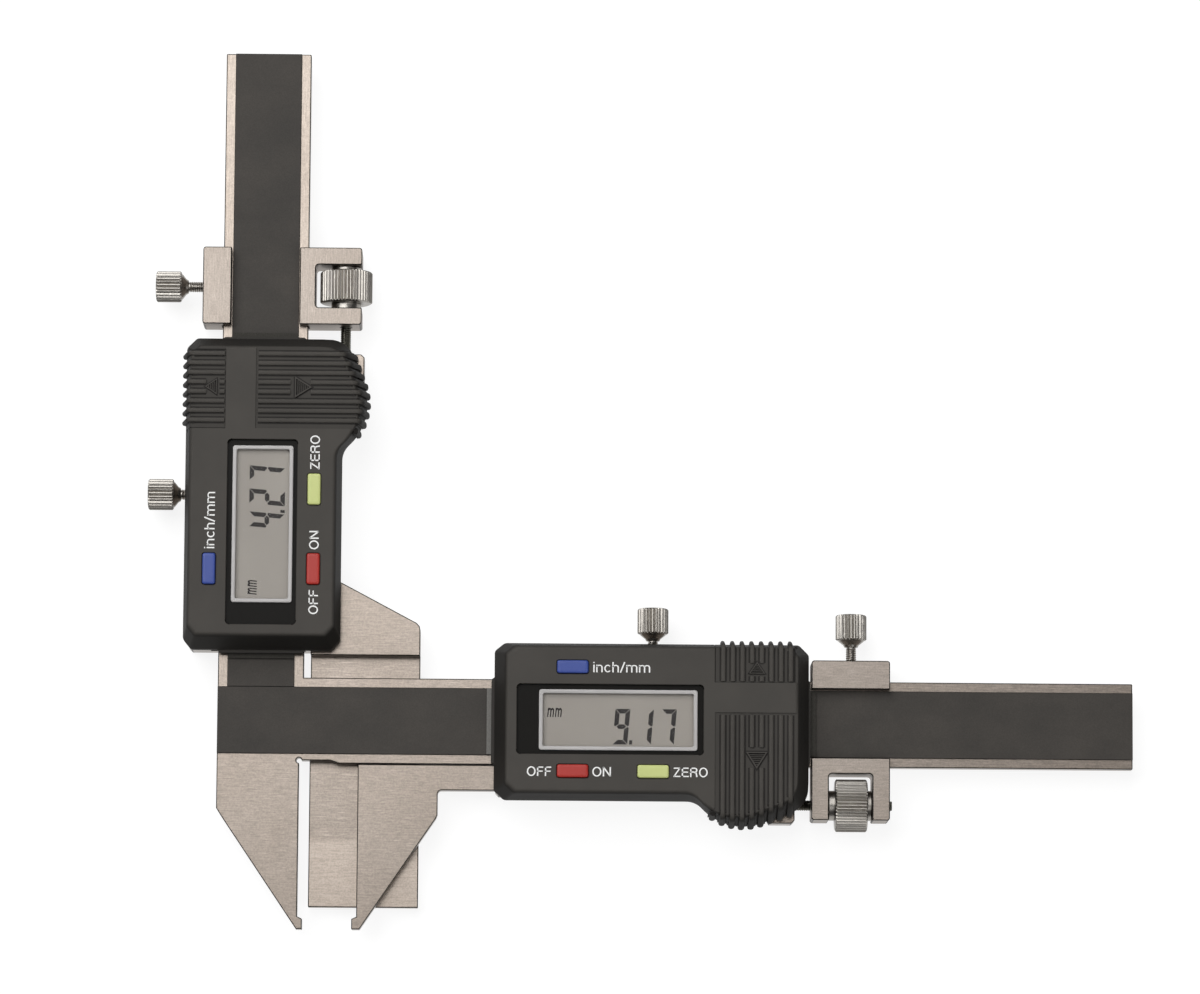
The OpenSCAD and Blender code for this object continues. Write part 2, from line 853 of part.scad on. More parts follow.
module head_fine_nut(u) {
  collar_r = 2.8;
  color([0.7, 0.69, 0.67])
    translate([u, -rod_v, 0])
      rotate([0, 90, 0])
        difference() {
          union() {
            translate([0, 0, window_at + run]) cylinder(r = collar_r, h = nut_window - 2 * run);
            translate([0, 0, nut_at]) knurled_wheel(nut_r, nut_w, 48, 0.25, 0.3);
          }
          cylinder(r = screw_r + run, h = carriage_l);
        }
}

// The horizontal head
module h_gib() at_h() head_gib();
module h_gib_screws() at_h() head_gib_screws();
module h_lock_screw() at_h() head_lock_screw();
module h_fine_rod() at_h() head_fine_rod();
module h_housing() at_h() head_housing();
module h_housing_screws() at_h() head_housing_screws();
module h_battery_door() at_h() head_battery_door();
module h_wipers() at_h() head_wipers();
module h_display_frame() at_h() head_display_frame();
module h_display_glass() at_h() head_display_glass();
module h_display_lens() at_h() head_display_lens();
module h_zebra_strips() at_h() head_zebra_strips();
module h_circuit_board() at_h() head_circuit_board();
module h_switch_domes() at_h() head_switch_domes();
module h_battery() at_h() head_battery();
module h_battery_contacts() at_h() head_battery_contacts();
module h_unit_button() at_h() head_button(unit_at, [0.24, 0.34, 0.66]);
module h_power_button() at_h() head_button(power_at, [0.78, 0.2, 0.18]);
module h_zero_button() at_h() head_button(zero_at, [0.78, 0.84, 0.5]);
module h_carriage() at_h() head_carriage(carriage_u_h);
module h_clamp_screw() at_h() head_clamp_screw(carriage_u_h);
module h_brake_pad() at_h() head_brake_pad(carriage_u_h);
module h_fine_nut() at_h() head_fine_nut(carriage_u_h);

// The vertical head
module v_gib() at_v() head_gib();
module v_gib_screws() at_v() head_gib_screws();
module v_lock_screw() at_v() head_lock_screw();
module v_fine_rod() at_v() head_fine_rod();
module v_housing() at_v() head_housing();
module v_housing_screws() at_v() head_housing_screws();
module v_battery_door() at_v() head_battery_door();
module v_wipers() at_v() head_wipers();
module v_display_frame() at_v() head_display_frame();
module v_display_glass() at_v() head_display_glass();
module v_display_lens() at_v() head_display_lens();
module v_zebra_strips() at_v() head_zebra_strips();
module v_circuit_board() at_v() head_circuit_board();
module v_switch_domes() at_v() head_switch_domes();
module v_battery() at_v() head_battery();
module v_battery_contacts() at_v() head_battery_contacts();
module v_unit_button() at_v() head_button(unit_at, [0.24, 0.34, 0.66]);
module v_power_button() at_v() head_button(power_at, [0.78, 0.2, 0.18]);
module v_zero_button() at_v() head_button(zero_at, [0.78, 0.84, 0.5]);
module v_carriage() at_v() head_carriage(carriage_u_v);
module v_clamp_screw() at_v() head_clamp_screw(carriage_u_v);
module v_brake_pad() at_v() head_brake_pad(carriage_u_v);
module v_fine_nut() at_v() head_fine_nut(carriage_u_v);

main_frame();
horizontal_scale();
vertical_scale();
h_slider_jaw();
h_gib();
h_gib_screws();
h_lock_screw();
h_fine_rod();
h_housing();
h_housing_screws();
h_battery_door();
h_wipers();
h_display_frame();
h_display_glass();
h_display_lens();
h_zebra_strips();
h_circuit_board();
h_switch_domes();
h_battery();
h_battery_contacts();
h_unit_button();
h_power_button();
h_zero_button();
h_carriage();
h_clamp_screw();
h_brake_pad();
h_fine_nut();
v_slider_tongue();
v_gib();
v_gib_screws();
v_lock_screw();
v_fine_rod();
v_housing();
v_housing_screws();
v_battery_door();
v_wipers();
v_display_frame();
v_display_glass();
v_display_lens();
v_zebra_strips();
v_circuit_board();
v_switch_domes();
v_battery();
v_battery_contacts();
v_unit_button();
v_power_button();
v_zero_button();
v_carriage();
v_clamp_screw();
v_brake_pad();
v_fine_nut();
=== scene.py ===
import math

import bmesh
import bpy
from mathutils import Euler, Matrix, Vector
from mathutils.bvhtree import BVHTree
from mathutils.kdtree import KDTree


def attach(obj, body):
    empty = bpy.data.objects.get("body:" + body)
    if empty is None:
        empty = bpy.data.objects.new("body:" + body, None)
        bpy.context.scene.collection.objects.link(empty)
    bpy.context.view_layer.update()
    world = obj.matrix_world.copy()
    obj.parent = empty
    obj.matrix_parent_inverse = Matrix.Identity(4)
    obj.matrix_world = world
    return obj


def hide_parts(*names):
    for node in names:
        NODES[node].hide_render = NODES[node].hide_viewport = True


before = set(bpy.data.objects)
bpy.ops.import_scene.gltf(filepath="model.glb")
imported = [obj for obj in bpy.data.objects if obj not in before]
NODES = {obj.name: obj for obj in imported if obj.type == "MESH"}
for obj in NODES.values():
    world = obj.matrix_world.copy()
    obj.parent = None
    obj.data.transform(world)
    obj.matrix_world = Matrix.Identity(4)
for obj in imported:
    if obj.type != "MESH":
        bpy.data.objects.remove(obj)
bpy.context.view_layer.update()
MM = 0.001

# The two heads are one design. Their own axes, in mm, are u along the beam, v across it and z out of the
# display. Each has its place, the first word of its bodies' names, the u where its carriage begins, its
# digits with the u of each, the u of the decimal point, and the v that the digits stand on.
HEADS = {
    "h": {
        "at": Matrix.Translation((35.37, 38.85, 0)),
        "word": "width",
        "carriage": 59.05,
        "digits": (("9", 21.93), ("1", 26.3), ("7", 30.54)),
        "point": 25.02,
        "base": -4.65,
    },
    "v": {
        "at": Matrix.Translation((-8.2, 51.72, 0)) @ Matrix.Rotation(math.pi / 2, 4, "Z"),
        "word": "height",
        "carriage": 61.4,
        "digits": (("4", 22.1), ("2", 26.4), ("7", 30.74)),
        "point": 25.14,
        "base": -4.3,
    },
}
PLAIN = Matrix.Identity(4)

# The housing, as in the CAD: its length, its half width and its middle
LEN, HALF = 58.5, 14.625
MID = Vector((LEN / 2, -0.125))
# Heights of its lower rim, of the upright skirt's end, of the start of the edge rounding and of the face
FOOT, SKIRT, SHOULDER, FACE = 2.6, 4.2, 8.7, 9.5
# How far the walls lean in along u and v up to the face, where the lean stops, and how far the edge is
# rounded
LEAN_U, LEAN_V, LEAN_STOP = 2.2, 1.0, 0.906
EDGE_IN = 0.85
# The outline's straight corners, and the thumb hump's arcs: centre, radius, first and last angle, steps
LOW_CORNERS = [(0, -13.04), (1.9, -14.75)]
HIGH_CORNERS = [(LEN, -11.0), (LEN, 12.6), (56.6, 14.5), (1.9, 14.5), (0, 12.98)]
HUMP_ARCS = (
    ((35.796, -18.75), 4, 90, 43.16, 8),
    ((46.3, -8.9), 10.4, 223.16, 290.2, 26),
    ((53.7, -12.2), 4.75, -69.8, -6, 14),
)
CORNER_ROUND, CORNER_STEPS = 0.45, 3

# The ribbed fields: their start along u, the battery door's end, the door's lower side, the lower field's
# upper side, and the height of both
FIELD, DOOR_END, DOOR_V, BAND, FIELD_Z = 40.9, 55.7, 7.0, 1.35, 9.3
RIB_STEP = 1.79
RIB_U = [42.4 + RIB_STEP * k for k in range(8)]
# The two ribs that make room for an arrow mark, and the mark's middle
SPLIT_RIBS, ARROW_U = (3, 4), 48.665
# A rib's width, and its height on the field, at the start of the edge and on the wall
RIB_WIDTH, RIB_HIGH, RIB_EDGE_HIGH, RIB_WALL_HIGH = 0.84, 0.36, 0.27, 0.72
# Where a rib goes over the edge: heights and the turn of its own up direction, in degrees
EDGE_TURNS = ((9.42, 20), (9.3, 38), (9.12, 55), (8.9, 68), (8.6, 76))
WALL_HEIGHTS = (7.6, 6.4, 5.2, 4.4, SKIRT, 3.4)
# The wall's own outward direction along v and z
WALL_OUT_V, WALL_OUT_Z = 0.985, 0.17
# On the hump a rib's width grows with its height
HUMP_SPREAD = 2.0
# Each field's side, where its ribs start and how low they go, the gap in its split ribs, and its arrow
# mark: the v of the mark's base, its width, its length and its bars
GRIPS = {
    "low": (-1, BAND - 0.45, FOOT + 0.05, (-5.1, -8.9), (-5.95, 4.0, -3.15, 6)),
    "door": (1, DOOR_V + 0.15, 3.3, (8.1, 10.6), (8.6, 3.0, 2.2, 4)),
}
# A rib's section, in parts of its width and height, and the dark sheet of painted shade at its foot: how much
# wider than the rib it is, and its height
BEAD = (
    (-0.5, -0.3), (-0.5, 0.45), (-0.4, 0.78), (-0.2, 0.96), (0, 1.0),
    (0.2, 0.96), (0.4, 0.78), (0.5, 0.45), (0.5, -0.3),
)
SHADE_SHEET_EXTRA, SHADE_SHEET_Z = 0.56, 0.012

# The housing's inside, window and openings: middle, length, width and corner radius, or two opposite
# corners
ROOF = 8.3
INSIDE = ((2.8, -12.4, 1), (39.7, 12.4, ROOF))
WINDOW, WINDOW_FLOOR, WINDOW_LIP = (21.5, -0.1, 34.6, 13, 0.8), 8.7, 0.12
DISPLAY_HOLE = ((8.75, -5.4, 7), (37.25, 5.0, 9))
BUTTON_HOLE, BUTTON_HOLE_Z, BUTTON_LIP = (6.0, 2.6, 0.5), 7, 0.1
BAY_AT, BAY_RADIUS, BAY_FLOOR, BAY_ROOF = (48.6, 0.9), 5.95, 3.0, 8.7
CONTACT_BAY = ((38.9, -1.1, BAY_FLOOR), (BAY_AT[0], 2.9, 7.3))
DOOR_GAP, OPENING_FOOT, GROOVE_DEEP, GROOVE = 0.07, 2.98, 0.55, (5.75, 6.65)
# The battery door: its play, the height of its lower side, its wall, how far its hollow goes, and its two
# runners
DOOR_PLAY, DOOR_FOOT, DOOR_WALL, DOOR_HOLLOW_V = 0.05, 3.05, 1.2, 12.6
RUNNER_OUT, RUNNER_IN, RUNNER = 0.5, 0.2, (5.8, 6.6)
# Cutters end out here, beyond the housing
OUT, ABOVE = 30, 20

# The buttons: u, v and colour
BUTTONS = {"unit": (14.5, 9.6, "blue"), "power": (14.6, -9.75, "red"), "zero": (29.5, -9.75, "green")}
BUTTON_L, BUTTON_W = 5.8, 2.4
# A button's outline on its way up: height, how far it has gone in, and corner radius
BUTTON_FORM = (
    (8.31, 0, 0.42), (9.5, 0, 0.42), (9.72, 0, 0.42), (9.83, 0.05, 0.4),
    (9.9, 0.14, 0.36), (9.935, 0.28, 0.3), (9.95, 0.55, 0.2),
)

# Its collar under the face, its neck and its stem: length, width, corner radius, and from z to z
BUTTON_BLOCKS = (
    (6.8, 3.2, 0.4, 7.35, 8.2),
    (BUTTON_L, BUTTON_W, 0.4, 8.15, 8.35),
    (2.4, 1.4, 0.3, 4.45, 7.4),
)

# Lettering: where it lies, the height of small letters, its stroke and the gap between letters
DISPLAY_Z, PRINT_Z = 8.262, 9.512
SMALL, STROKE, LETTER_GAP = 0.74, 0.125, 0.12
LOW_ROW = (-10.72, -8.98)
# Words on the housing: text, from u to u, from v to v, stroke
LABELS = {
    "label_unit": ("inch/mm", (18.3, 28.85), (8.62, 10.52), 0.105),
    "label_off": ("OFF", (6.15, 10.7), LOW_ROW, STROKE),
    "label_on": ("ON", (18.25, 21.7), LOW_ROW, STROKE),
    "label_zero": ("ZERO", (33.25, 39.6), LOW_ROW, STROKE),
}
# The unit on the display: from u to u, and from v to v above the foot of the digits
UNIT_U, UNIT_V = (9.82, 12.45), (5.0, 6.7)
# The display's digits: width, height, bar, gap between bars, slant, and the bars that each digit lights
DIGIT_W, DIGIT_H, BAR, BAR_GAP, SLANT = 2.77, 6.6, 0.84, 0.06, 0.085
LIT = {"1": "bc", "2": "abged", "4": "fgbc", "7": "abc", "9": "abcdfg"}

# Screws and nut: the fine rod's v, start and length, the threads, the knurled knobs, and the nut's two hubs
ROD_V, ROD_START, ROD_LEN = -15.05, 51.2, 23.0
THREAD_R, PITCH, THREAD_DEEP = 1.0, 0.4, 0.13
THREAD_SIDES, THREAD_ROWS = 20, 6
# The lock screw's u and the clamp screw's place on its carriage, each with the v of its tip and of its cone
LOCK_U, LOCK_TIP, LOCK_CONE = 29.5, 9.3, 15.4
CLAMP_OFF, CLAMP_TIP, CLAMP_CONE = 7.5, 8.9, 14.5
CONE = ((0, 0.95), (0.1, 1.25), (0.5, 1.45), (1.15, 2.3), (1.3, 2.4))
KNOB_OFF, KNOB_R, KNOB_LEN, KNOB_RIDGES, KNOB_DEEP = 1.28, 2.9, 4.92, 27, 0.26
NUT_R, NUT_LEN, NUT_RIDGES, NUT_DEEP = 4.9, 6.1, 48, 0.27
NUT_OFF, HUB_R, HUB_RIM_R, HUBS = 4.45, 2.8, 2.55, ((3.3, 4.5), (10.5, 11.3))
RIM, TURNED_SIDES = 0.32, 48

# How wide the broken edges are, on the beams and sliders, the scales, the blocks and the lens
STEEL_EDGE, STRIP_EDGE, BLOCK_EDGE, LENS_EDGE = 0.18, 0.09, 0.2, 0.06


# Material helpers

def new_material(name):
    material = bpy.data.materials.new(name)
    material.use_nodes = True
    return material, material.node_tree, material.node_tree.nodes["Principled BSDF"]


def node(tree, kind, inputs=None, **props):
    """A shader node. An input is a socket to link or a plain value."""
    made = tree.nodes.new("ShaderNode" + kind)
    for key, value in props.items():
        setattr(made, key, value)
    for key, value in (inputs or {}).items():
        if isinstance(value, bpy.types.NodeSocket):
            tree.links.new(value, made.inputs[key])
        else:
            made.inputs[key].default_value = value
    return made


def own_place(tree):
    """The piece's own coordinates in mm, kept by finish_mesh."""
    return node(tree, "Attribute", attribute_name="local").outputs["Vector"]


def frame_place(tree):
    return node(tree, "TexCoord").outputs["Object"]


def along_axis(tree, vector, axis):
    return node(tree, "SeparateXYZ", {0: vector}).outputs[axis]


def maths(tree, operation, first, second):
    return node(tree, "Math", {0: first, 1: second}, operation=operation).outputs[0]


def coords(tree, stretch, local=False, upright=None):
    """Texture coordinates in mm, stretched. Local ones are the piece's own, the others the frame's.
    Above the height called upright, x and y change places, so that a grain follows the vertical beam."""
    if local:
        place = own_place(tree)
        scale = stretch
    else:
        place = frame_place(tree)
        scale = [s / MM for s in stretch]
    if upright:
        x, y, z = (along_axis(tree, place, axis) for axis in "XYZ")
        high = maths(tree, "GREATER_THAN", y, upright * MM)
        turned = node(tree, "CombineXYZ", {0: y, 1: x, 2: z}).outputs[0]
        place = mix(tree, high, place, turned)
    return node(tree, "Mapping", {"Vector": place, "Scale": scale}).outputs["Vector"]


def noise(tree, place, detail, rough):
    inputs = {"Vector": place, "Scale": 1.0, "Detail": detail, "Roughness": rough}
    return node(tree, "TexNoise", inputs).outputs["Fac"]


def ramp(tree, factor, stops):
    made = node(tree, "ValToRGB", {"Fac": factor})
    elements = made.color_ramp.elements
    while len(elements) < len(stops):
        elements.new(0.5)
    for element, (position, colour) in zip(elements, stops):
        element.position = position
        element.color = (*colour, 1)
    return made.outputs["Color"]


def span(tree, value, low, high, start=0.0, end=1.0):
    """Maps start to end onto low to high."""
    inputs = {"Value": value, "From Min": start, "From Max": end, "To Min": low, "To Max": high}
    return node(tree, "MapRange", inputs).outputs["Result"]


def mix(tree, factor, first, second):
    return node(tree, "MixRGB", {"Fac": factor, "Color1": first, "Color2": second}).outputs["Color"]


def times(tree, first, second):
    inputs = {"Fac": 1.0, "Color1": first, "Color2": second}
    return node(tree, "MixRGB", inputs, blend_type="MULTIPLY").outputs["Color"]


def grey(level):
    return (level,) * 3


def brighter(colour, factor):
    return tuple(factor * c for c in colour)


def surface(tree, shader, colour, rough):
    tree.links.new(colour, shader.inputs["Base Color"])
    tree.links.new(rough, shader.inputs["Roughness"])


def bump(tree, shader, height, strength, distance):
    inputs = {"Height": height, "Strength": strength, "Distance": distance * MM}
    tree.links.new(node(tree, "Bump", inputs).outputs["Normal"], shader.inputs["Normal"])


# Materials

# The first gain is painted light on the lower tongue; the second lightens the scratches
TONGUE_LIGHT_GAIN, SCRATCH_GAIN = 1.32, 1.45
# Heights in mm: the grain follows the vertical beam above the first, and below the other the tongue is
# painted lighter, painted light where the beam's shadow on it ends
UPRIGHT_ABOVE, TONGUE_LIGHT_BELOW = 47.3, 16.8
# The wiper at this x, in mm and to either side, is painted lighter than the others: painted light on it,
# painted shade on the others
LIT_WIPER_X, LIT_WIPER_HALF = 34.5, 4.0
# Dark and light colour of the ground steel and of the housings
GROUND = ((0.212, 0.184, 0.16), (0.308, 0.266, 0.231))
MOULDED = ((0.052, 0.048, 0.043), (0.061, 0.056, 0.05))


def steel(name, dark, light, rough, local=False, along=(0.35, 4.0, 4.0), strength=0.06, streak=0.42,
          upright=None, painted_light_below=None):
    """Ground steel: short fine streaks in colour, roughness and relief, a fine grain, slow unevenness and
    light scratches. Below a given height it is painted lighter, painted light where the beam's shadow ends."""
    material, tree, shader = new_material(name)
    fine = noise(tree, coords(tree, along, local, upright), 4.0, 0.65)
    grain = noise(tree, coords(tree, (3.0, 3.0, 3.0), local), 3.0, 0.7)
    slow = noise(tree, coords(tree, (0.05, 0.06, 0.06), local), 3.0, 0.5)
    tone = span(tree, maths(tree, "ADD", fine, grain), 0.0, 1.0, 1 - streak, 1 + streak)
    base = ramp(tree, tone, [(0.25, dark), (0.75, light)])
    if painted_light_below:
        # Painted light: below the height the colours are lighter, where the beam's shadow on the tongue ends
        y = along_axis(tree, frame_place(tree), "Y")
        low = span(tree, y, 1.0, 0.0, (painted_light_below - 0.5) * MM, (painted_light_below + 0.5) * MM)
        stops = [(0.25, brighter(dark, TONGUE_LIGHT_GAIN)), (0.75, brighter(light, TONGUE_LIGHT_GAIN))]
        base = mix(tree, low, base, ramp(tree, tone, stops))
    stretch = [more * a for more, a in zip((1.1, 1.5, 1.5), along)]
    marks = noise(tree, coords(tree, stretch, local, upright), 2.0, 0.5)
    scratches = ramp(tree, marks, [(0.63, grey(0.0)), (0.72, grey(0.6))])
    base = mix(tree, scratches, base, (*brighter(light, SCRATCH_GAIN), 1))
    tint = ramp(tree, slow, [(0.35, (0.93, 0.92, 0.91)), (0.65, grey(1.0))])
    surface(tree, shader, times(tree, base, tint), span(tree, tone, rough - 0.015, rough + 0.02))
    shader.inputs["Metallic"].default_value = 1.0
    bump(tree, shader, fine, strength, 0.006)
    return material


def plastic(name, dark, light, rough, spec=0.3, grain=9.0, strength=0.3, local=True, painted_wall_shade=None):
    """Moulded plastic, unevenly coloured, with a fine spark-eroded grain. Below its face its walls are
    darkened as painted shade, and its skirt less so, a painted highlight along the rim.
    """
    material, tree, shader = new_material(name)
    fine = noise(tree, coords(tree, grey(grain), local), 2.0, 0.6)
    slow = noise(tree, coords(tree, grey(0.12), local), 3.0, 0.55)
    colour = ramp(tree, slow, [(0.3, dark), (0.7, light)])
    if painted_wall_shade:
        # Painted shade on the walls up to the edge rounding; the lighter skirt below them is a painted
        # highlight
        top = 10.0
        level = span(tree, along_axis(tree, own_place(tree), "Z"), 0.0, 1.0, 0.0, top)
        shades = ((SKIRT, 1.8 * painted_wall_shade), (4.6, painted_wall_shade), (8.95, painted_wall_shade), (9.48, 1.0))
        colour = times(tree, colour, ramp(tree, level, [(z / top, grey(shade)) for z, shade in shades]))
    surface(tree, shader, colour, span(tree, slow, rough - 0.05, rough + 0.05))
    shader.inputs["Specular IOR Level"].default_value = spec
    bump(tree, shader, fine, strength, 0.015)
    return material


def strip_material():
    """Matt dark laminate over the scale: cloudy, finely mottled, with a few specks of dust."""
    material, tree, shader = new_material("scale_laminate")
    cloud = noise(tree, coords(tree, (0.1, 0.13, 0.1)), 4.0, 0.6)
    speck = noise(tree, coords(tree, grey(4.0)), 3.0, 0.7)
    dust = noise(tree, coords(tree, grey(0.9)), 5.0, 0.85)
    base = ramp(tree, cloud, [(0.3, (0.037, 0.033, 0.029)), (0.7, (0.052, 0.046, 0.04))])
    mottled = times(tree, base, ramp(tree, speck, [(0.35, grey(0.88)), (0.65, grey(1.08))]))
    dots = ramp(tree, dust, [(0.72, grey(0.0)), (0.76, grey(0.6))])
    colour = mix(tree, dots, mottled, (0.13, 0.125, 0.115, 1))
    surface(tree, shader, colour, span(tree, cloud, 0.55, 0.66))
    shader.inputs["Specular IOR Level"].default_value = 0.25
    bump(tree, shader, speck, 0.3, 0.01)
    return material


def glass_material():
    """Grey liquid crystal: a fine even shimmer and a slow tint."""
    material, tree, shader = new_material("liquid_crystal")
    fine = noise(tree, coords(tree, grey(6.0)), 2.0, 0.5)
    slow = noise(tree, coords(tree, grey(0.06)), 2.0, 0.5)
    base = ramp(tree, slow, [(0.3, (0.29, 0.264, 0.232)), (0.7, (0.33, 0.303, 0.267))])
    surface(tree, shader, base, span(tree, fine, 0.35, 0.5))
    shader.inputs["Specular IOR Level"].default_value = 0.3
    return material


def lens_material():
    """Clear plastic, almost invisible, with a faint uneven haze."""
    material, tree, shader = new_material("clear_lens")
    haze = noise(tree, coords(tree, grey(0.5), True), 2.0, 0.5)
    tint = ramp(tree, haze, [(0.3, (0.2, 0.2, 0.21)), (0.7, (0.26, 0.26, 0.27))])
    surface(tree, shader, tint, span(tree, haze, 0.08, 0.14))
    shader.inputs["Alpha"].default_value = 0.04
    shader.inputs["Specular IOR Level"].default_value = 0.5
    return material


def felt_material():
    """Fibrous felt, painted dark as shade except for the wiper at the horizontal head's left end, which is
    painted lighter as if lit.
    """
    material, tree, shader = new_material("wiper_felt")
    fibre = noise(tree, coords(tree, (7.0, 3.0, 7.0)), 5.0, 0.75)
    x = along_axis(tree, frame_place(tree), "X")
    inputs = {0: x, 1: LIT_WIPER_X * MM, 2: LIT_WIPER_HALF * MM}
    lit_wiper = node(tree, "Math", inputs, operation="COMPARE").outputs[0]
    # Painted shade on the wipers in shadow, painted light on the one at the given x
    shaded_felt = ramp(tree, fibre, [(0.3, (0.035, 0.033, 0.029)), (0.7, (0.06, 0.057, 0.051))])
    lit_felt = ramp(tree, fibre, [(0.3, (0.13, 0.125, 0.115)), (0.7, (0.21, 0.205, 0.195))])
    tree.links.new(mix(tree, lit_wiper, shaded_felt, lit_felt), shader.inputs["Base Color"])
    shader.inputs["Roughness"].default_value = 0.95
    shader.inputs["Specular IOR Level"].default_value = 0.1
    bump(tree, shader, fibre, 0.7, 0.05)
    return material


ROUND_GRAIN = (0.8, 0.8, 0.8)
MAT = {
    "beam": steel("beam_steel", *GROUND, 0.3, upright=UPRIGHT_ABOVE),
    # Painted shade: the broken edges of beams, sliders and carriages are painted much darker than the steel
    "edge": steel("painted_shade_edge_steel", (0.022, 0.02, 0.017), (0.042, 0.039, 0.034), 0.42),
    "steel": steel("ground_steel", *GROUND, 0.3),
    "tongue": steel("tongue_steel", *GROUND, 0.3, painted_light_below=TONGUE_LIGHT_BELOW),
    "carriage": steel("carriage_steel", (0.25, 0.219, 0.193), (0.352, 0.308, 0.271), 0.42, True),
    "knurl": steel(
        "knurled_steel", (0.3, 0.285, 0.262), (0.38, 0.362, 0.335), 0.31, True, ROUND_GRAIN, 0.02, 0.8
    ),
    "screw": steel(
        "screw_steel", (0.4, 0.39, 0.37), (0.55, 0.54, 0.52), 0.3, along=(1.5, 1.5, 1.5), strength=0.1
    ),
    "rod": steel("rod_steel", (0.085, 0.083, 0.07), (0.14, 0.136, 0.115), 0.42, True, ROUND_GRAIN, 0.05),
    "bronze": steel("gib_bronze", (0.5, 0.36, 0.19), (0.62, 0.47, 0.27), 0.35),
    "contact": steel("contact_bronze", (0.6, 0.47, 0.24), (0.74, 0.6, 0.34), 0.25),
    "cell": steel(
        "cell_steel", (0.58, 0.57, 0.55), (0.7, 0.69, 0.67), 0.2, along=(2.0, 2.0, 2.0), strength=0.08
    ),
    # Housing and door: painted shade on their walls and a painted highlight on their skirts
    "housing": plastic("housing_plastic", *MOULDED, 0.66, 0.2, painted_wall_shade=0.33),
    "door": plastic("door_plastic", *MOULDED, 0.66, 0.2, painted_wall_shade=0.33),
    # Painted shade: dark sheets at the ribs' feet and under the arrow marks, and on the scales' broken edges
    "painted_shade": plastic("painted_shade_plastic", (0.014, 0.0125, 0.011), (0.021, 0.019, 0.0175), 0.6, 0.15),
    "recess": plastic(
        "window_black", (0.0065, 0.006, 0.0052), (0.0085, 0.0078, 0.0068), 0.3, 0.06, 2.0, 0.03
    ),
    "frame": plastic(
        "display_frame_silver", (0.37, 0.358, 0.352), (0.42, 0.408, 0.402), 0.34, 0.55, 12.0, 0.15
    ),
    "blue": plastic("blue_rubber", (0.03, 0.058, 0.26), (0.036, 0.068, 0.29), 0.42, 0.4, 10.0, 0.15),
    "red": plastic("red_rubber", (0.34, 0.018, 0.012), (0.39, 0.024, 0.016), 0.42, 0.4, 10.0, 0.15),
    "green": plastic("green_rubber", (0.5, 0.55, 0.2), (0.55, 0.6, 0.235), 0.42, 0.4, 10.0, 0.15),
    "ink": plastic("white_ink", (0.8, 0.8, 0.79), (0.86, 0.86, 0.85), 0.6, 0.2, 14.0, 0.1),
    "segment": plastic("display_segment", (0.013, 0.01, 0.009), (0.02, 0.016, 0.014), 0.5, 0.1, 5.0, 0.02),
    "zebra": plastic("zebra_rubber", (0.08, 0.08, 0.09), (0.11, 0.11, 0.12), 0.7, 0.2, 8.0, 0.2, False),
    "board": plastic(
        "circuit_board", (0.012, 0.075, 0.032), (0.018, 0.095, 0.042), 0.35, 0.5, 5.0, 0.1, False
    ),
    "strip": strip_material(),
    "glass": glass_material(),
    "lens": lens_material(),
    "felt": felt_material(),
}

# The CAD nodes of each head whose own shape stays, and their material
PAINTED = {
    "gib": "bronze",
    "gib_screws": "screw",
    "housing_screws": "screw",
    "wipers": "felt",
    "display_glass": "glass",
    "zebra_strips": "zebra",
    "circuit_board": "board",
    "switch_domes": "contact",
    "battery": "cell",
    "battery_contacts": "contact",
    "brake_pad": "bronze",
}


# Mesh helpers

def body_of(p, part):
    return HEADS[p]["word"] + "_" + part


def link(name, mesh):
    made = bpy.data.objects.new(name, mesh)
    bpy.context.scene.collection.objects.link(made)
    return made


def applied(made):
    """The object's mesh with its modifiers applied."""
    graph = bpy.context.evaluated_depsgraph_get()
    return bpy.data.meshes.new_from_object(made.evaluated_get(graph))


def make(p, name, bm, part, materials, replaces=(), angle=32):
    """A piece from a bmesh in the own mm of head p, on the head's body of that part."""
    bmesh.ops.recalc_face_normals(bm, faces=bm.faces)
    mesh = bpy.data.meshes.new(name)
    bm.to_mesh(mesh)
    bm.free()
    finish_mesh(name, mesh, HEADS[p]["at"], body_of(p, part), materials, replaces, angle)


def finish_mesh(name, mesh, place, body, materials, replaces=(), angle=32):
    """Puts a mesh in mm into the frame as a piece on a body, and keeps its places in mm for its grain."""
    own = mesh.attributes.new("local", "FLOAT_VECTOR", "POINT")
    flat = [0.0] * (3 * len(mesh.vertices))
    mesh.vertices.foreach_get("co", flat)
    own.data.foreach_set("vector", flat)
    mesh.transform(Matrix.Scale(MM, 4) @ place)
    mesh.polygons.foreach_set("use_smooth", [True] * len(mesh.polygons))
    mesh.set_sharp_from_angle(angle=math.radians(angle))
    parts = [0] * len(mesh.polygons)
    mesh.polygons.foreach_get("material_index", parts)
    mesh.materials.clear()
    for key in materials:
        mesh.materials.append(MAT[key])
    mesh.polygons.foreach_set("material_index", [i if i < len(materials) else 0 for i in parts])
    piece = link(name, mesh)
    normals = piece.modifiers.new("flat_faces", "WEIGHTED_NORMAL")
    normals.keep_sharp = True
    even = applied(piece)
    piece.modifiers.clear()
    piece.data = even
    even.name = name
    bpy.data.meshes.remove(mesh)
    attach(piece, body)
    if replaces:
        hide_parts(*replaces)


def loft(bm, loops):
    """Skins loops of equal length, each a list of (u, v, z), and caps both ends."""
    rings = [[bm.verts.new(p) for p in loop] for loop in loops]
    count = len(rings[0])
    for a, b in zip(rings, rings[1:]):
        for i in range(count):
            j = (i + 1) % count
            bm.faces.new((a[i], a[j], b[j], b[i]))
    bm.faces.new(list(reversed(rings[0])))
    bm.faces.new(rings[-1])


def prism(bm, outline, z0, z1):
    loft(bm, [[(x, y, z) for x, y in outline] for z in (z0, z1)])


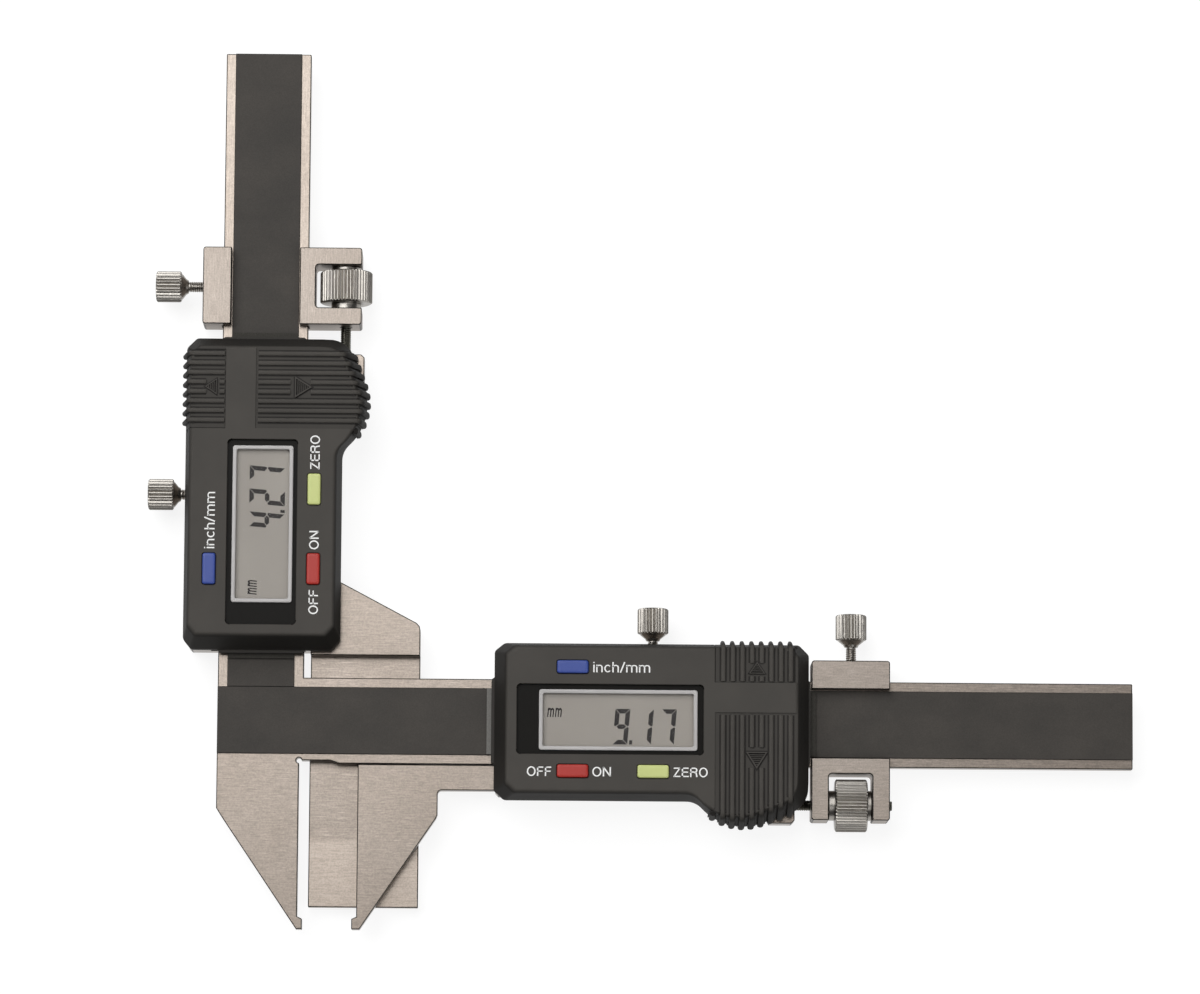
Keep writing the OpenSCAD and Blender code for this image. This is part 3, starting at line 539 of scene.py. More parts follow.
def box(bm, low, high):
    (x0, y0, z0), (x1, y1, z1) = low, high
    prism(bm, [(x0, y0), (x1, y0), (x1, y1), (x0, y1)], z0, z1)


def oval(centre, radii, first, last, steps):
    """Points of an ellipse's arc, with its angles in degrees."""
    angles = [math.radians(first + (last - first) * i / steps) for i in range(steps + 1)]
    return [(centre[0] + radii[0] * math.cos(a), centre[1] + radii[1] * math.sin(a)) for a in angles]


def arc(centre, radius, first, last, steps):
    return oval(centre, (radius, radius), first, last, steps)


def rounded_rect(cu, cv, long, wide, corner):
    """A rectangle's outline round its middle, its corners rounded by five steps each."""
    points = []
    for k, (su, sv) in enumerate(((1, -1), (1, 1), (-1, 1), (-1, -1))):
        at = (cu + su * (long / 2 - corner), cv + sv * (wide / 2 - corner))
        points += arc(at, corner, 90 * k - 90, 90 * k, 5)
    return points


def turned_ring(origin, axis, along, radii):
    """A ring of points round an axis, one for each radius."""
    side = axis.orthogonal().normalized()
    other = axis.cross(side)
    ring = []
    for i, radius in enumerate(radii):
        w = 2 * math.pi * i / len(radii)
        ring.append(tuple(origin + axis * along + (side * math.cos(w) + other * math.sin(w)) * radius))
    return ring


def lathe(bm, profile, sides, origin, axis, radius_at=None):
    """Revolves (along, radius) pairs round an axis; radius_at(along, radius, angle) reshapes it."""
    rings = []
    for along, radius in profile:
        radii = [radius] * sides
        if radius_at:
            radii = [radius_at(along, radius, 2 * math.pi * i / sides) for i in range(sides)]
        rings.append(turned_ring(Vector(origin), Vector(axis), along, radii))
    loft(bm, rings)


def boolean(target, cutters, operation="DIFFERENCE"):
    """Applies each cutter bmesh to the target, a mesh or bmesh, and returns the resulting mesh."""
    for cutter in cutters:
        pair = []
        for name, shape in (("cut_target", target), ("cut_tool", cutter)):
            if isinstance(shape, bmesh.types.BMesh):
                bmesh.ops.recalc_face_normals(shape, faces=shape.faces)
                mesh = bpy.data.meshes.new(name)
                shape.to_mesh(mesh)
                shape.free()
                shape = mesh
            pair.append(link(name, shape))
        cut = pair[0].modifiers.new("cut", "BOOLEAN")
        cut.operation = operation
        cut.solver = "EXACT"
        cut.object = pair[1]
        target = applied(pair[0])
        for made in pair:
            bpy.data.objects.remove(made)
    return target


def weigh_edges(bm, width):
    """Bevel weights: full on an outer edge with room round it, less on a narrow face or where another edge
    faces it from nearby."""
    weight = bm.edges.layers.float.new("bevel_weight_edge")
    sharp = math.radians(35)
    near = 2.4 * width
    marks = []
    for edge in bm.edges:
        if len(edge.link_loops) == 2 and edge.calc_face_angle(0) > sharp:
            edge[weight] = 1.0 if edge.is_convex else 0.0
            steps = max(1, int(edge.calc_length() / near))
            for loop in edge.link_loops:
                a, b = loop.vert.co, loop.link_loop_next.vert.co
                inward = loop.face.normal.cross(b - a).normalized()
                room = max((v.co - a).dot(inward) for v in loop.face.verts)
                edge[weight] = min(edge[weight], room / (1.1 * width))
                marks += [(a.lerp(b, i / steps), inward, edge) for i in range(steps + 1)]
    tree = KDTree(len(marks))
    for i, (spot, _, _) in enumerate(marks):
        tree.insert(spot, i)
    tree.balance()
    for spot, inward, edge in marks:
        for other, i, gap in tree.find_range(spot, near):
            if marks[i][1].dot(inward) < -0.3 and (other - spot).dot(inward) > 0.7 * gap:
                edge[weight] = min(edge[weight], gap / near)


def bevelled(node_name, body, place, width, key, edge_shade_key=None):
    """A CAD node's own shape with its edges broken, as a new piece. The broken edges can have a darker
    material of their own, painted shade along them, and no point stands outside the node's surface."""
    keys = [key, edge_shade_key] if edge_shade_key else [key]
    mesh = NODES[node_name].data.copy()
    mesh.materials.clear()
    for each in keys:
        mesh.materials.append(MAT[each])
    mesh.transform(place.inverted() @ Matrix.Scale(1 / MM, 4))
    bm = bmesh.new()
    bm.from_mesh(mesh)
    bmesh.ops.remove_doubles(bm, verts=bm.verts, dist=0.002)
    bmesh.ops.dissolve_limit(bm, angle_limit=math.radians(1.5), verts=bm.verts, edges=bm.edges)
    bm.normal_update()
    weigh_edges(bm, width)
    solid = BVHTree.FromBMesh(bm)
    bm.to_mesh(mesh)
    bm.free()
    work = link("bevel_work", mesh)
    bevel = work.modifiers.new("edge", "BEVEL")
    bevel.width = width
    bevel.segments = 2
    bevel.material = 1 if edge_shade_key else -1
    bevel.limit_method = "WEIGHT"
    bevel.use_clamp_overlap = False
    out = applied(work)
    bpy.data.objects.remove(work)
    for vertex in out.vertices:
        on_surface, normal, _, gap = solid.find_nearest(vertex.co)
        if gap > 0.001 and (vertex.co - on_surface).dot(normal) > 0:
            vertex.co = on_surface
    finish_mesh(node_name + "_piece", out, place, body, keys, [node_name])


def paint(node_name, key):
    mesh = NODES[node_name].data
    mesh.materials.clear()
    mesh.materials.append(MAT[key])


# Housing form

def soften(points, corners):
    """Rounds the listed corners of a polygon with short arcs."""
    out = []
    for i, point in enumerate(points):
        if i not in corners:
            out.append(point)
            continue
        before, at, after = Vector(points[i - 1]), Vector(point), Vector(points[(i + 1) % len(points)])
        start = at + (before - at).normalized() * CORNER_ROUND
        end = at + (after - at).normalized() * CORNER_ROUND
        for k in range(CORNER_STEPS + 1):
            s = k / CORNER_STEPS
            q = start * (1 - s) ** 2 + at * 2 * s * (1 - s) + end * s ** 2
            out.append((q.x, q.y))
    return out


def head_outline():
    """The housing's outline at its foot, anticlockwise from the display end's lower corner."""
    points = LOW_CORNERS + [point for each in HUMP_ARCS for point in arc(*each)] + HIGH_CORNERS
    return soften(points, {0, 1, *range(len(points) - 4, len(points))})


OUTLINE = head_outline()


def shrink(z):
    """The outline's size at height z, as parts along u and v, by the walls' lean and the edge rounding."""
    part = min(max((z - SKIRT) / (FACE - SKIRT), 0), LEAN_STOP)
    su = 1 - 2 * LEAN_U / LEN * part
    sv = 1 - LEAN_V / HALF * part
    if z > SHOULDER:
        s = min(1.0, (z - SHOULDER) / (FACE - SHOULDER))
        drop = 1 - math.sqrt(max(0.0, 1 - s * s))
        su *= 1 - 2 * EDGE_IN / LEN * drop
        sv *= 1 - EDGE_IN / HALF * drop
    return su, sv


def scaled_outline(z, su, sv):
    return [(MID.x + (x - MID.x) * su, MID.y + (y - MID.y) * sv, z) for x, y in OUTLINE]


def side_v(u, z, sign):
    """The wall's v at a given u and height, on the upper (sign 1) or the lower side (sign -1)."""
    su, sv = shrink(z)
    x = MID.x + (u - MID.x) / su
    found = []
    for (x0, y0), (x1, y1) in zip(OUTLINE, OUTLINE[1:] + OUTLINE[:1]):
        if x0 != x1 and min(x0, x1) <= x <= max(x0, x1):
            found.append(y0 + (y1 - y0) * (x - x0) / (x1 - x0))
    best = max(found) if sign > 0 else min(found)
    return MID.y + (best - MID.y) * sv


def housing_solid():
    """The housing's outer form, from its slightly drawn-in foot to its rounded edge and face."""
    rounding = [SHOULDER + (FACE - SHOULDER) * math.sin(math.radians(a)) for a in (0, 25, 45, 62, 76, 90)]
    near = 0.12
    heights = [FOOT + near, SKIRT - near, SKIRT, SKIRT + near, SHOULDER - 0.05] + rounding
    bm = bmesh.new()
    loft(bm, [scaled_outline(FOOT, 0.997, 0.992)] + [scaled_outline(z, *shrink(z)) for z in heights])
    return bm


def chamfered_hole(rect, z0, lip):
    """A cutter from z0 up through the face, with a small chamfer where it leaves the face."""
    cu, cv, long, wide, corner = rect

    def ring(grow, z):
        outline = rounded_rect(cu, cv, long + 2 * grow, wide + 2 * grow, corner + grow)
        return [(x, y, z) for x, y in outline]

    over = 0.02
    bm = bmesh.new()
    loft(bm, [ring(0, z0), ring(0, FACE - lip), ring(lip + over, FACE + over), ring(lip + over, FACE + 1)])
    return bm


def box_cutter(low, high):
    bm = bmesh.new()
    box(bm, low, high)
    return bm


def door_field_cutter():
    return box_cutter((FIELD, DOOR_V, FIELD_Z), (LEN + 1, OUT, ABOVE))


def battery_bay_cutters():
    """A round bay, open towards the door, and a channel for the contacts."""
    cu, cv = BAY_AT
    sides = 40
    bay = bmesh.new()
    prism(bay, arc(BAY_AT, BAY_RADIUS, 0, 360 - 360 / sides, sides - 1), BAY_FLOOR, BAY_ROOF)
    way_in = box_cutter((cu - BAY_RADIUS, cv, BAY_FLOOR), (cu + BAY_RADIUS, DOOR_V + 1, BAY_ROOF))
    return [bay, way_in, box_cutter(*CONTACT_BAY)]


def door_opening_cutters():
    """The opening for the battery door, and the grooves for its runners."""
    low = (FIELD - DOOR_GAP, DOOR_V - DOOR_GAP, OPENING_FOOT)
    opening = box_cutter(low, (DOOR_END + DOOR_GAP, OUT, ABOVE))
    low = (FIELD - GROOVE_DEEP, DOOR_V - DOOR_PLAY, GROOVE[0])
    return [opening, box_cutter(low, (DOOR_END + GROOVE_DEEP, OUT, GROOVE[1]))]


def housing_cutters():
    cuts = [
        door_field_cutter(),
        box_cutter((FIELD, -OUT, FIELD_Z), (LEN + 1, BAND, ABOVE)),
        box_cutter(*INSIDE),
        chamfered_hole(WINDOW, WINDOW_FLOOR, WINDOW_LIP),
        box_cutter(*DISPLAY_HOLE),
    ]
    cuts += [chamfered_hole((u, v, *BUTTON_HOLE), BUTTON_HOLE_Z, BUTTON_LIP) for u, v, _ in BUTTONS.values()]
    return cuts + battery_bay_cutters() + door_opening_cutters()


def in_window(face):
    """Whether a face is on the window's sunk floor or its walls."""
    c = face.calc_center_median()
    cu, cv, long, wide, _ = WINDOW
    slack = 0.05
    inside = abs(c.x - cu) < long / 2 + slack and abs(c.y - cv) < wide / 2 + slack
    return inside and WINDOW_FLOOR - 0.2 < c.z < FACE - slack


def bead_strip(bm, u, path, width, spread):
    """Sweeps a bead along (v, z, normal v, normal z, height). Its foot stands on a dark sheet of its own,
    painted shade.
    Where the bead is tall, spread makes it wider."""
    loops, painted_shade = [], []
    for v, z, out_v, out_z, high in path:
        wide = width * max(1.0, spread * high)
        loops.append([(u + s * wide, v + out_v * k * high, z + out_z * k * high) for s, k in BEAD])
        half = (wide + SHADE_SHEET_EXTRA) / 2
        spot = (v + out_v * SHADE_SHEET_Z, z + out_z * SHADE_SHEET_Z)
        painted_shade.append([bm.verts.new((u + side, *spot)) for side in (-half, half)])
    loft(bm, loops)
    # Painted shade: a flat dark sheet round the bead's foot
    for a, b in zip(painted_shade, painted_shade[1:]):
        bm.faces.new((a[0], a[1], b[1], b[0])).material_index = 2


def rib(bm, u, sign, start, low, stop=None):
    """A rounded grip bead over the field from v start, up to stop if there is one, or else over the edge and
    down the wall to low."""
    before_edge, step = 0.5, 1.2
    end = side_v(u, FACE, sign) - sign * before_edge if stop is None else stop
    steps = max(3, int(abs(end - start) / step))
    path = [(start + (end - start) * i / steps, FIELD_Z, 0.0, 1.0, RIB_HIGH) for i in range(steps + 1)]
    if stop is None:
        for k, (z, turn) in enumerate(EDGE_TURNS, 1):
            high = RIB_EDGE_HIGH + (RIB_WALL_HIGH - RIB_EDGE_HIGH) * k / len(EDGE_TURNS)
            angle = math.radians(turn)
            path.append((side_v(u, z, sign), z - 0.02, sign * math.sin(angle), math.cos(angle), high))
        for z in (*WALL_HEIGHTS, low + 0.25, low):
            high = RIB_WALL_HIGH if z > low else RIB_WALL_HIGH * 0.4
            path.append((side_v(u, z, sign), z, sign * WALL_OUT_V, WALL_OUT_Z, high))
    bead_strip(bm, u, path, RIB_WIDTH, HUMP_SPREAD if sign < 0 else 1.0)


def grip(bm, field):
    """The ribs of one field and the arrow mark in the gap of the split ones."""
    sign, start, low, gap, mark = GRIPS[field]
    for k, u in enumerate(RIB_U):
        if k in SPLIT_RIBS:
            rib(bm, u, sign, start, low, gap[0])
            rib(bm, u, sign, gap[1], low)
        else:
            rib(bm, u, sign, start, low)
    triangle_mark(bm, *mark)


def hump_start_rib(bm):
    """The extra rib where the hump begins, on the wall only."""
    u = RIB_U[0] - RIB_STEP
    path = []
    for z in (8.9, 8.2, 7.0, 5.5, SKIRT, 3.2, FOOT + 0.1):
        high = 0.1 if z > SHOULDER else 0.7
        path.append((side_v(u, z, -1), z, -WALL_OUT_V, WALL_OUT_Z, high))
    bead_strip(bm, u, path, 0.86, HUMP_SPREAD)


def triangle_mark(bm, v, base, tall, bars):
    """An arrow mark over a dark ground of painted shade: a raised frame round a triangle, hatched by fine
    bars.
    """
    z0, z1 = FIELD_Z - 0.05, FIELD_Z + 0.34
    frame_part, ground_part = 0.8, 1.22
    half_bar, least_half = 0.07, 0.12
    outer = [Vector((ARROW_U - base / 2, v)), Vector((ARROW_U + base / 2, v)), Vector((ARROW_U, v + tall))]
    middle = sum(outer, Vector((0, 0))) / 3
    ground = [middle + (p - middle) * ground_part for p in outer]
    # Painted shade: a dark ground round the mark and between its bars
    bm.faces.new([bm.verts.new((*p, FIELD_Z + 0.014)) for p in ground]).material_index = 2
    inner = [middle + (p - middle) * frame_part for p in outer]
    for i in range(3):
        j = (i + 1) % 3
        prism(bm, [tuple(p) for p in (outer[i], outer[j], inner[j], inner[i])], z0, z1)
    for k in range(1, bars + 1):
        s = k / (bars + 1)
        half = base * frame_part * (1 - s) / 2
        y = inner[0].y + (inner[2].y - inner[0].y) * s
        if half > least_half:
            box(bm, (ARROW_U - half, y - half_bar, z0), (ARROW_U + half, y + half_bar, z1 - 0.04))


def lips(bm):
    """Rubbing lips round the scale at both ends of the housing."""
    half, slope, root = 8.3, 0.3, 1.2
    for end, outward, reach, tip in ((0, -1, 0.55, 7.7), (LEN, 1, 0.35, 7.4)):
        sides = [(end + outward * reach, tip), (end - outward * slope, half), (end - outward * root, half)]
        outline = [(x, -y) for x, y in sides[:1]] + sides + [(x, -y) for x, y in reversed(sides[1:])]
        prism(bm, outline, FOOT, SKIRT - 0.25)


def build_housing(p):
    bm = bmesh.new()
    bm.from_mesh(boolean(housing_solid(), housing_cutters()))
    for face in bm.faces:
        face.material_index = 1 if in_window(face) else 0
    grip(bm, "low")
    hump_start_rib(bm)
    lips(bm)
    keys = ["housing", "recess", "painted_shade"]
    make(p, p + "_housing_shell", bm, "head", keys, [p + "_housing"], angle=28)


def build_door(p):
    """The battery door: the housing's form between the door's sides, hollowed, with runners and ribs."""
    mesh = boolean(housing_solid(), [door_field_cutter()])
    own = box_cutter((FIELD + DOOR_PLAY, DOOR_V, DOOR_FOOT), (DOOR_END - DOOR_PLAY, OUT, ABOVE))
    mesh = boolean(mesh, [own], "INTERSECT")
    hollow = box_cutter((FIELD + DOOR_WALL, DOOR_V - 1, 0), (DOOR_END - DOOR_WALL, DOOR_HOLLOW_V, ROOF))
    mesh = boolean(mesh, [hollow])
    bm = bmesh.new()
    bm.from_mesh(mesh)
    z0, z1 = RUNNER
    for u0, u1 in ((FIELD - RUNNER_OUT, FIELD + RUNNER_IN), (DOOR_END - RUNNER_IN, DOOR_END + RUNNER_OUT)):
        box(bm, (u0, DOOR_V, z0), (u1, side_v(u0, z0, 1) - 0.15, z1))
    grip(bm, "door")
    name = p + "_battery_door"
    keys = ["door", "recess", "painted_shade"]
    make(p, name + "_piece", bm, "battery_door", keys, [name], angle=28)


def build_button(p, which):
    """A button: its cap with a rolled edge, and its neck, collar and stem under the face."""
    cu, cv, key = BUTTONS[which]
    bm = bmesh.new()
    loops = []
    for z, inset, corner in BUTTON_FORM:
        outline = rounded_rect(cu, cv, BUTTON_L - 2 * inset, BUTTON_W - 2 * inset, corner)
        loops.append([(x, y, z) for x, y in outline])
    loft(bm, loops)
    for long, wide, corner, z0, z1 in BUTTON_BLOCKS:
        prism(bm, rounded_rect(cu, cv, long, wide, corner), z0, z1)
    part = which + "_button"
    make(p, f"{p}_{part}_piece", bm, part, [key], [f"{p}_{part}"], angle=40)


# Display and labels

def digit(bm, character, u, v):
    """One digit of mitred bars. u, v is its lower left corner."""
    w, h, t, g = DIGIT_W, DIGIT_H, BAR, BAR_GAP
    m = h / 2
    q = t / 2
    tip = q * 0.6
    cut = 0.15
    bars = {
        "a": [(g, h), (w - g, h), (w - t - g, h - t), (t + g, h - t)],
        "b": [(w, h - g), (w, m + g + cut), (w - tip, m + g), (w - t, m + q + g), (w - t, h - t - g)],
        "c": [(w, g), (w - t, t + g), (w - t, m - q - g), (w - tip, m - g), (w, m - g - cut)],
        "d": [(g, 0), (t + g, t), (w - t - g, t), (w - g, 0)],
        "e": [(0, g), (0, m - g - cut), (tip, m - g), (t, m - q - g), (t, t + g)],
        "f": [(0, h - g), (t, h - t - g), (t, m + q + g), (tip, m + g), (0, m + g + cut)],
        "g": [(q + g, m), (t + g, m + q), (w - t - g, m + q),
              (w - q - g, m), (w - t - g, m - q), (t + g, m - q)],
    }
    for bar in LIT[character]:
        bm.faces.new([bm.verts.new((u + x + SLANT * y, v + y, DISPLAY_Z)) for x, y in bars[bar]])


def ribbon(bm, points, width, put, closed):
    """A flat stroke of even width along points; put maps a stroke's point to the piece."""
    count = len(points)
    left, right = [], []
    for i, point in enumerate(points):
        at = Vector(point)
        before = Vector(points[i - 1]) if i or closed else None
        after = Vector(points[(i + 1) % count]) if i < count - 1 or closed else None
        into = (at - before).normalized() if before else (after - at).normalized()
        onward = (after - at).normalized() if after else into
        first, second = Vector((-into.y, into.x)), Vector((-onward.y, onward.x))
        mitre = first + second
        mitre = first if mitre.length < 0.3 else mitre / (mitre.length_squared / 2)
        left.append(bm.verts.new(put(at + mitre * width / 2)))
        right.append(bm.verts.new(put(at - mitre * width / 2)))
    for i in range(count if closed else count - 1):
        j = (i + 1) % count
        bm.faces.new((left[i], right[i], right[j], left[j]))


def arch(u0, u1, stroke):
    """The arch of an n, h or m, from u0 over to u1 and down."""
    radius = (u1 - u0) / 2
    return arc(((u0 + u1) / 2, SMALL - stroke / 2 - radius), radius, 170, 0, 9) + [(u1, 0)]


def glyph(character, t):
    """A plain sans letter in units of its cap height: its strokes and width. A closed stroke ends in True."""
    h = t / 2
    x = SMALL
    stem = [(h, 0), (h, 1)]
    short_stem = [(h, 0), (h, x)]
    top_bar = 1 - h
    return {
        "O": ([oval((0.4, 0.5), (0.4 - h, 0.52 - h), 0, 348, 29) + [True]], 0.8),
        "F": ([stem, [(0, top_bar), (0.58, top_bar)], [(0, 0.51), (0.52, 0.51)]], 0.6),
        "N": ([stem, [(0.71 - h, 0), (0.71 - h, 1)], [(h * 0.9, 1), (0.71 - h * 0.9, 0)]], 0.71),
        "Z": ([[(0.03, top_bar), (0.63, top_bar)], [(0, h), (0.65, h)], [(0.58, top_bar), (0.07, h)]], 0.65),
        "E": ([stem, [(0, top_bar), (0.63, top_bar)], [(0, 0.52), (0.59, 0.52)], [(0, h), (0.65, h)]], 0.65),
        "R": ([stem,
               [(0, top_bar), (0.44, top_bar)] + oval((0.44, 0.735), (0.235 - h, 0.265 - h), 80, -80, 10)
               + [(0.44, 0.47 + h), (0, 0.47 + h)],
               [(0.42, 0.5), (0.56, 0.42), (0.6, 0.2), (0.63, 0)]], 0.7),
        "i": ([short_stem, [(h, 1 - t), (h, 1)]], t),
        "n": ([short_stem, arch(h, 0.5 - h, t)], 0.5),
        "h": ([stem, arch(h, 0.5 - h, t)], 0.5),
        "m": ([short_stem, arch(h, 0.43, t), arch(0.43, 0.86 - h, t)], 0.86),
        "c": ([oval((0.27, x / 2), (0.27 - h, x / 2 - h), 42, 318, 18)], 0.5),
        "/": ([[(0, -0.02), (0.32, 1.02)]], 0.32),
    }[character]


def label(name, text, p, us, vs, z, key, stroke, gap=LETTER_GAP, slant=0.0):
    """Lettering fitted to a box in the head's own mm."""
    strokes, x = [], 0.0
    for character in text:
        parts, width = glyph(character, stroke)
        for part in parts:
            closed = part[-1] is True
            strokes.append(([(x + q[0], q[1]) for q in (part[:-1] if closed else part)], closed))
        x += width + gap
    tall = SMALL if text == "mm" else 1.0
    su, sv = (us[1] - us[0]) / (x - gap), (vs[1] - vs[0]) / tall

    def put(q):
        return us[0] + (q.x + slant * q.y) * su, vs[0] + q.y * sv, z

    bm = bmesh.new()
    for points, closed in strokes:
        ribbon(bm, points, stroke, put, closed)
    make(p, f"{p}_{name}", bm, "head", [key])


def build_display(p):
    spec = HEADS[p]
    u, v = spec["point"], spec["base"]
    bm = bmesh.new()
    for character, at_u in spec["digits"]:
        digit(bm, character, at_u, v)
    point = ((0, 0), (0.55, 0), (0.62, 0.8), (0.07, 0.8))
    bm.faces.new([bm.verts.new((u + x, v + y, DISPLAY_Z)) for x, y in point])
    make(p, p + "_display_digits", bm, "head", ["segment"])
    vs = [v + up for up in UNIT_V]
    label("display_mm", "mm", p, UNIT_U, vs, DISPLAY_Z, "segment", stroke=0.16, gap=0.17, slant=0.16)


# Screws, rods and nuts

def thread(bm, origin, axis, length):
    """A threaded rod, plain and thinner at both ends."""
    rows = int(length / PITCH * THREAD_ROWS)
    plain_end = 0.2
    rings = []
    for row in range(rows + 1):
        along = length * row / rows
        radii = []
        for i in range(THREAD_SIDES):
            phase = (along / PITCH - i / THREAD_SIDES) % 1
            deep = THREAD_DEEP * abs(2 * phase - 1)
            if along < plain_end or length - along < plain_end:
                deep = THREAD_DEEP
            radii.append(THREAD_R - deep)
        rings.append(turned_ring(Vector(origin), Vector(axis), along, radii))
    loft(bm, rings)


def knob(bm, origin, axis, radius, length, ridges, deep):
    """A knurled knob: sharp valleys between rounded ridges, and rims turned plain."""
    profile = [
        (0, radius - 0.75), (0.02, radius - 0.5), (0.12, radius - 0.25), (RIM, radius),
        (length - RIM, radius), (length - 0.12, radius - 0.2), (length - 0.02, radius - 0.5),
        (length, radius - 0.8),
    ]

    def knurled(along, at_radius, angle):
        valley = deep * abs(math.cos(angle * ridges / 2)) ** 3
        return min(at_radius, radius - valley)

    lathe(bm, profile, ridges * 6, origin, axis, knurled)


def build_thumb_screw(p, part, u, tip, cone):
    """A knurled thumb screw across the beam at u: its thread from tip to cone, its cone and its knob."""
    axis = (0, 1, 0)
    bm = bmesh.new()
    thread(bm, (u, tip, 0), axis, cone - tip)
    lathe(bm, CONE, TURNED_SIDES, (u, cone, 0), axis)
    knob(bm, (u, cone + KNOB_OFF, 0), axis, KNOB_R, KNOB_LEN, KNOB_RIDGES, KNOB_DEEP)
    make(p, f"{p}_{part}_piece", bm, part, ["knurl"], [f"{p}_{part}"], angle=24)


def build_nut(p):
    """The knurled nut with a plain hub at each side."""
    u = HEADS[p]["carriage"]
    axis = (1, 0, 0)
    rim = 0.12
    bm = bmesh.new()
    knob(bm, (u + NUT_OFF, ROD_V, 0), axis, NUT_R, NUT_LEN, NUT_RIDGES, NUT_DEEP)
    for start, end in HUBS:
        wide = end - start
        profile = [(0, HUB_RIM_R), (rim, HUB_R), (wide - rim, HUB_R), (wide, HUB_RIM_R)]
        lathe(bm, profile, TURNED_SIDES, (u + start, ROD_V, 0), axis)
    name = p + "_fine_nut"
    make(p, name + "_piece", bm, "fine_nut", ["knurl"], [name], angle=24)


def build_rod(p):
    bm = bmesh.new()
    thread(bm, (ROD_START, ROD_V, 0), (1, 0, 0), ROD_LEN)
    name = p + "_fine_rod"
    make(p, name + "_piece", bm, "head", ["rod"], [name], angle=24)


# The object

def build_head(p):
    spec = HEADS[p]
    head = body_of(p, "head")
    build_housing(p)
    build_door(p)
    for which in BUTTONS:
        build_button(p, which)
    bevelled(p + "_display_frame", head, spec["at"], BLOCK_EDGE, "frame")
    bevelled(p + "_display_lens", head, spec["at"], LENS_EDGE, "lens")
    bevelled(p + "_carriage", body_of(p, "carriage"), spec["at"], BLOCK_EDGE, "carriage", "edge")
    build_display(p)
    build_thumb_screw(p, "lock_screw", LOCK_U, LOCK_TIP, LOCK_CONE)
    build_thumb_screw(p, "clamp_screw", spec["carriage"] + CLAMP_OFF, CLAMP_TIP, CLAMP_CONE)
    build_nut(p)
    build_rod(p)
    for part, key in PAINTED.items():
        paint(f"{p}_{part}", key)
    for name, (text, us, vs, stroke) in LABELS.items():
        label(name, text, p, us, vs, PRINT_Z, "ink", stroke)


# Beams and sliders: their broken edges get the painted shade of the edge steel
bevelled("main_frame", "frame", PLAIN, STEEL_EDGE, "beam", "edge")
# The scales' broken edges are painted dark, painted shade
bevelled("horizontal_scale", "frame", PLAIN, STRIP_EDGE, "strip", "painted_shade")
bevelled("vertical_scale", "frame", PLAIN, STRIP_EDGE, "strip", "painted_shade")
bevelled("h_slider_jaw", "width_head", HEADS["h"]["at"], STEEL_EDGE, "steel", "edge")
bevelled("v_slider_tongue", "height_head", PLAIN, STEEL_EDGE, "tongue", "edge")
for p in HEADS:
    build_head(p)


# Floor, light and camera, in metres

FLOOR_Z, FLOOR_HALF, FLOOR_GLOW = -0.0052, 3, 0.86
# Where each lamp is and what it points at, and its power; both are square
LAMPS = {
    "softbox_top": ((-0.93, 1.25, 1.7), (-0.93, 1.25, 0), 64),
    "softbox_fill": ((1.3, -1.0, 2.4), (0.06, 0.05, 0), 26),
}
LAMP_SIDE, WORLD_STRENGTH = 2.2, 0.08
# The camera, fitted to the photo: where it is, its turn in degrees and its focal length in mm
CAMERA_AT = (0.04146622, -0.07393759, 1.19555684)
CAMERA_TURN, CAMERA_LENS = (7.4, -0.69, 0.39), 193.005


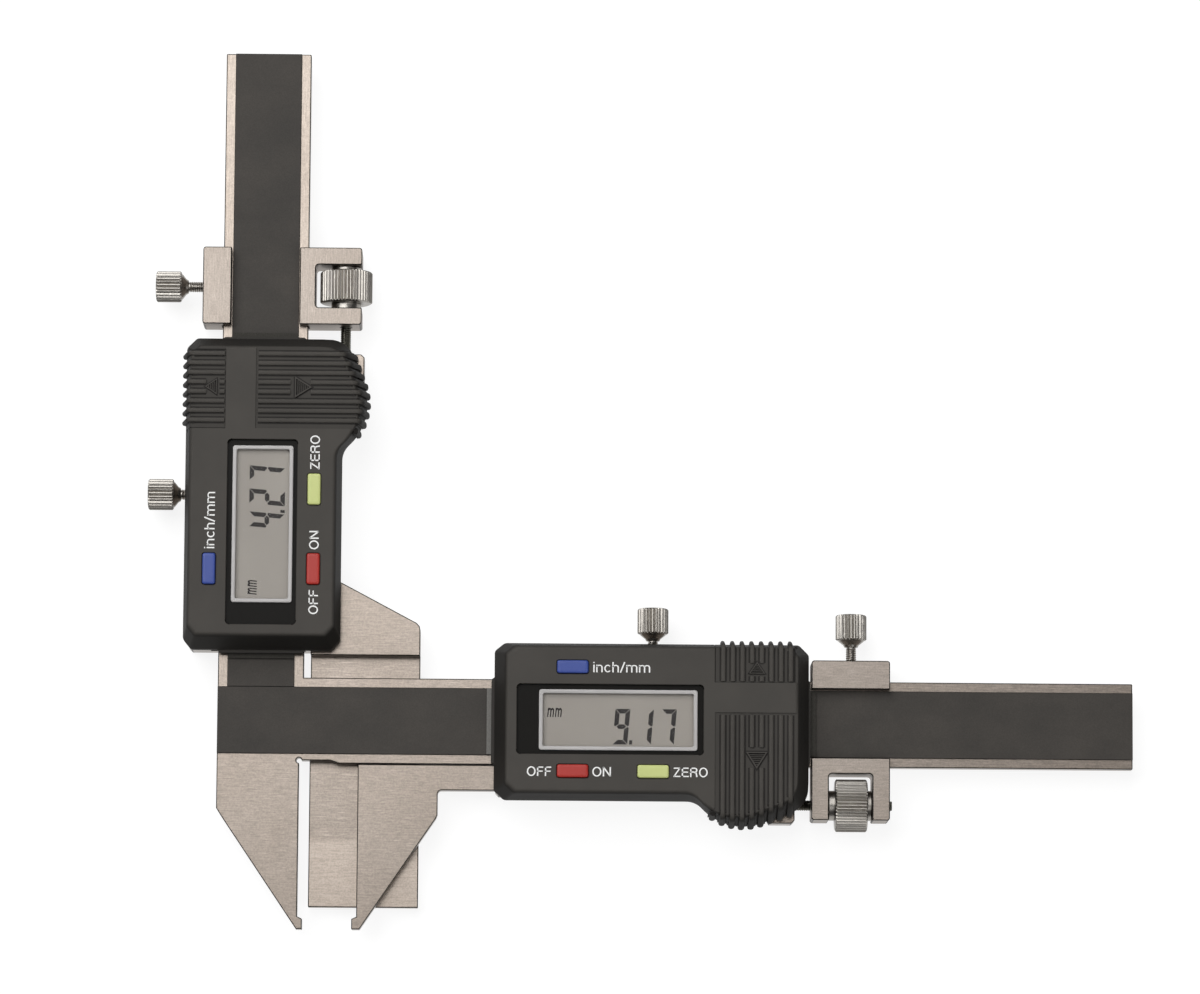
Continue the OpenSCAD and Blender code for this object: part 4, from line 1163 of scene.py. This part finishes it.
def floor_material():
    """Pale floor, white to the camera, in reflections and through glass. It keeps the object's shadow."""
    material = bpy.data.materials.new("white_floor")
    material.use_nodes = True
    tree = material.node_tree
    tree.nodes.clear()
    ray = node(tree, "LightPath").outputs
    seen = maths(tree, "ADD", ray["Is Camera Ray"], ray["Is Glossy Ray"])
    inputs = {0: seen, 1: ray["Is Transmission Ray"]}
    seen = node(tree, "Math", inputs, operation="ADD", use_clamp=True).outputs[0]
    grain = noise(tree, coords(tree, grey(0.01)), 2.0, 0.5)
    tone = ramp(tree, grain, [(0.3, grey(0.19)), (0.7, grey(0.21))])
    diffuse = node(tree, "BsdfDiffuse", {"Color": tone})
    power = maths(tree, "MULTIPLY", seen, FLOOR_GLOW)
    glow = node(tree, "Emission", {"Color": (1, 1, 1, 1), "Strength": power})
    both = node(tree, "AddShader", {0: diffuse.outputs[0], 1: glow.outputs[0]})
    node(tree, "OutputMaterial", {"Surface": both.outputs[0]})
    return material


def build_floor():
    mesh = bpy.data.meshes.new("floor")
    corners = [(x * FLOOR_HALF, y * FLOOR_HALF, FLOOR_Z) for x, y in ((-1, -1), (1, -1), (1, 1), (-1, 1))]
    mesh.from_pydata(corners, [], [(0, 1, 2, 3)])
    mesh.materials.append(floor_material())
    link("floor", mesh)


def build_lamp(name, at, target, power):
    lamp = bpy.data.lights.new(name, "AREA")
    lamp.size = LAMP_SIDE
    lamp.energy = power
    made = link(name, lamp)
    made.location = at
    made.rotation_mode = "QUATERNION"
    made.rotation_quaternion = (Vector(target) - Vector(at)).to_track_quat("-Z", "Y")


def build_world():
    world = bpy.data.worlds.new("studio")
    world.use_nodes = True
    background = world.node_tree.nodes["Background"].inputs
    background["Color"].default_value = (1, 1, 1, 1)
    background["Strength"].default_value = WORLD_STRENGTH
    bpy.context.scene.world = world


def build_camera():
    camera = bpy.data.cameras.new("photo_camera")
    camera.lens = CAMERA_LENS
    camera.sensor_width = 36
    camera.sensor_fit = "HORIZONTAL"
    camera.clip_start = 0.05
    camera.clip_end = 20
    made = link("photo_camera", camera)
    turn = Euler([math.radians(a) for a in CAMERA_TURN])
    made.matrix_world = Matrix.Translation(CAMERA_AT) @ turn.to_matrix().to_4x4()
    bpy.context.scene.camera = made


build_floor()
for name, (at, target, power) in LAMPS.items():
    build_lamp(name, at, target, power)
build_world()
build_camera()
bpy.context.scene.view_settings.view_transform = "Standard"
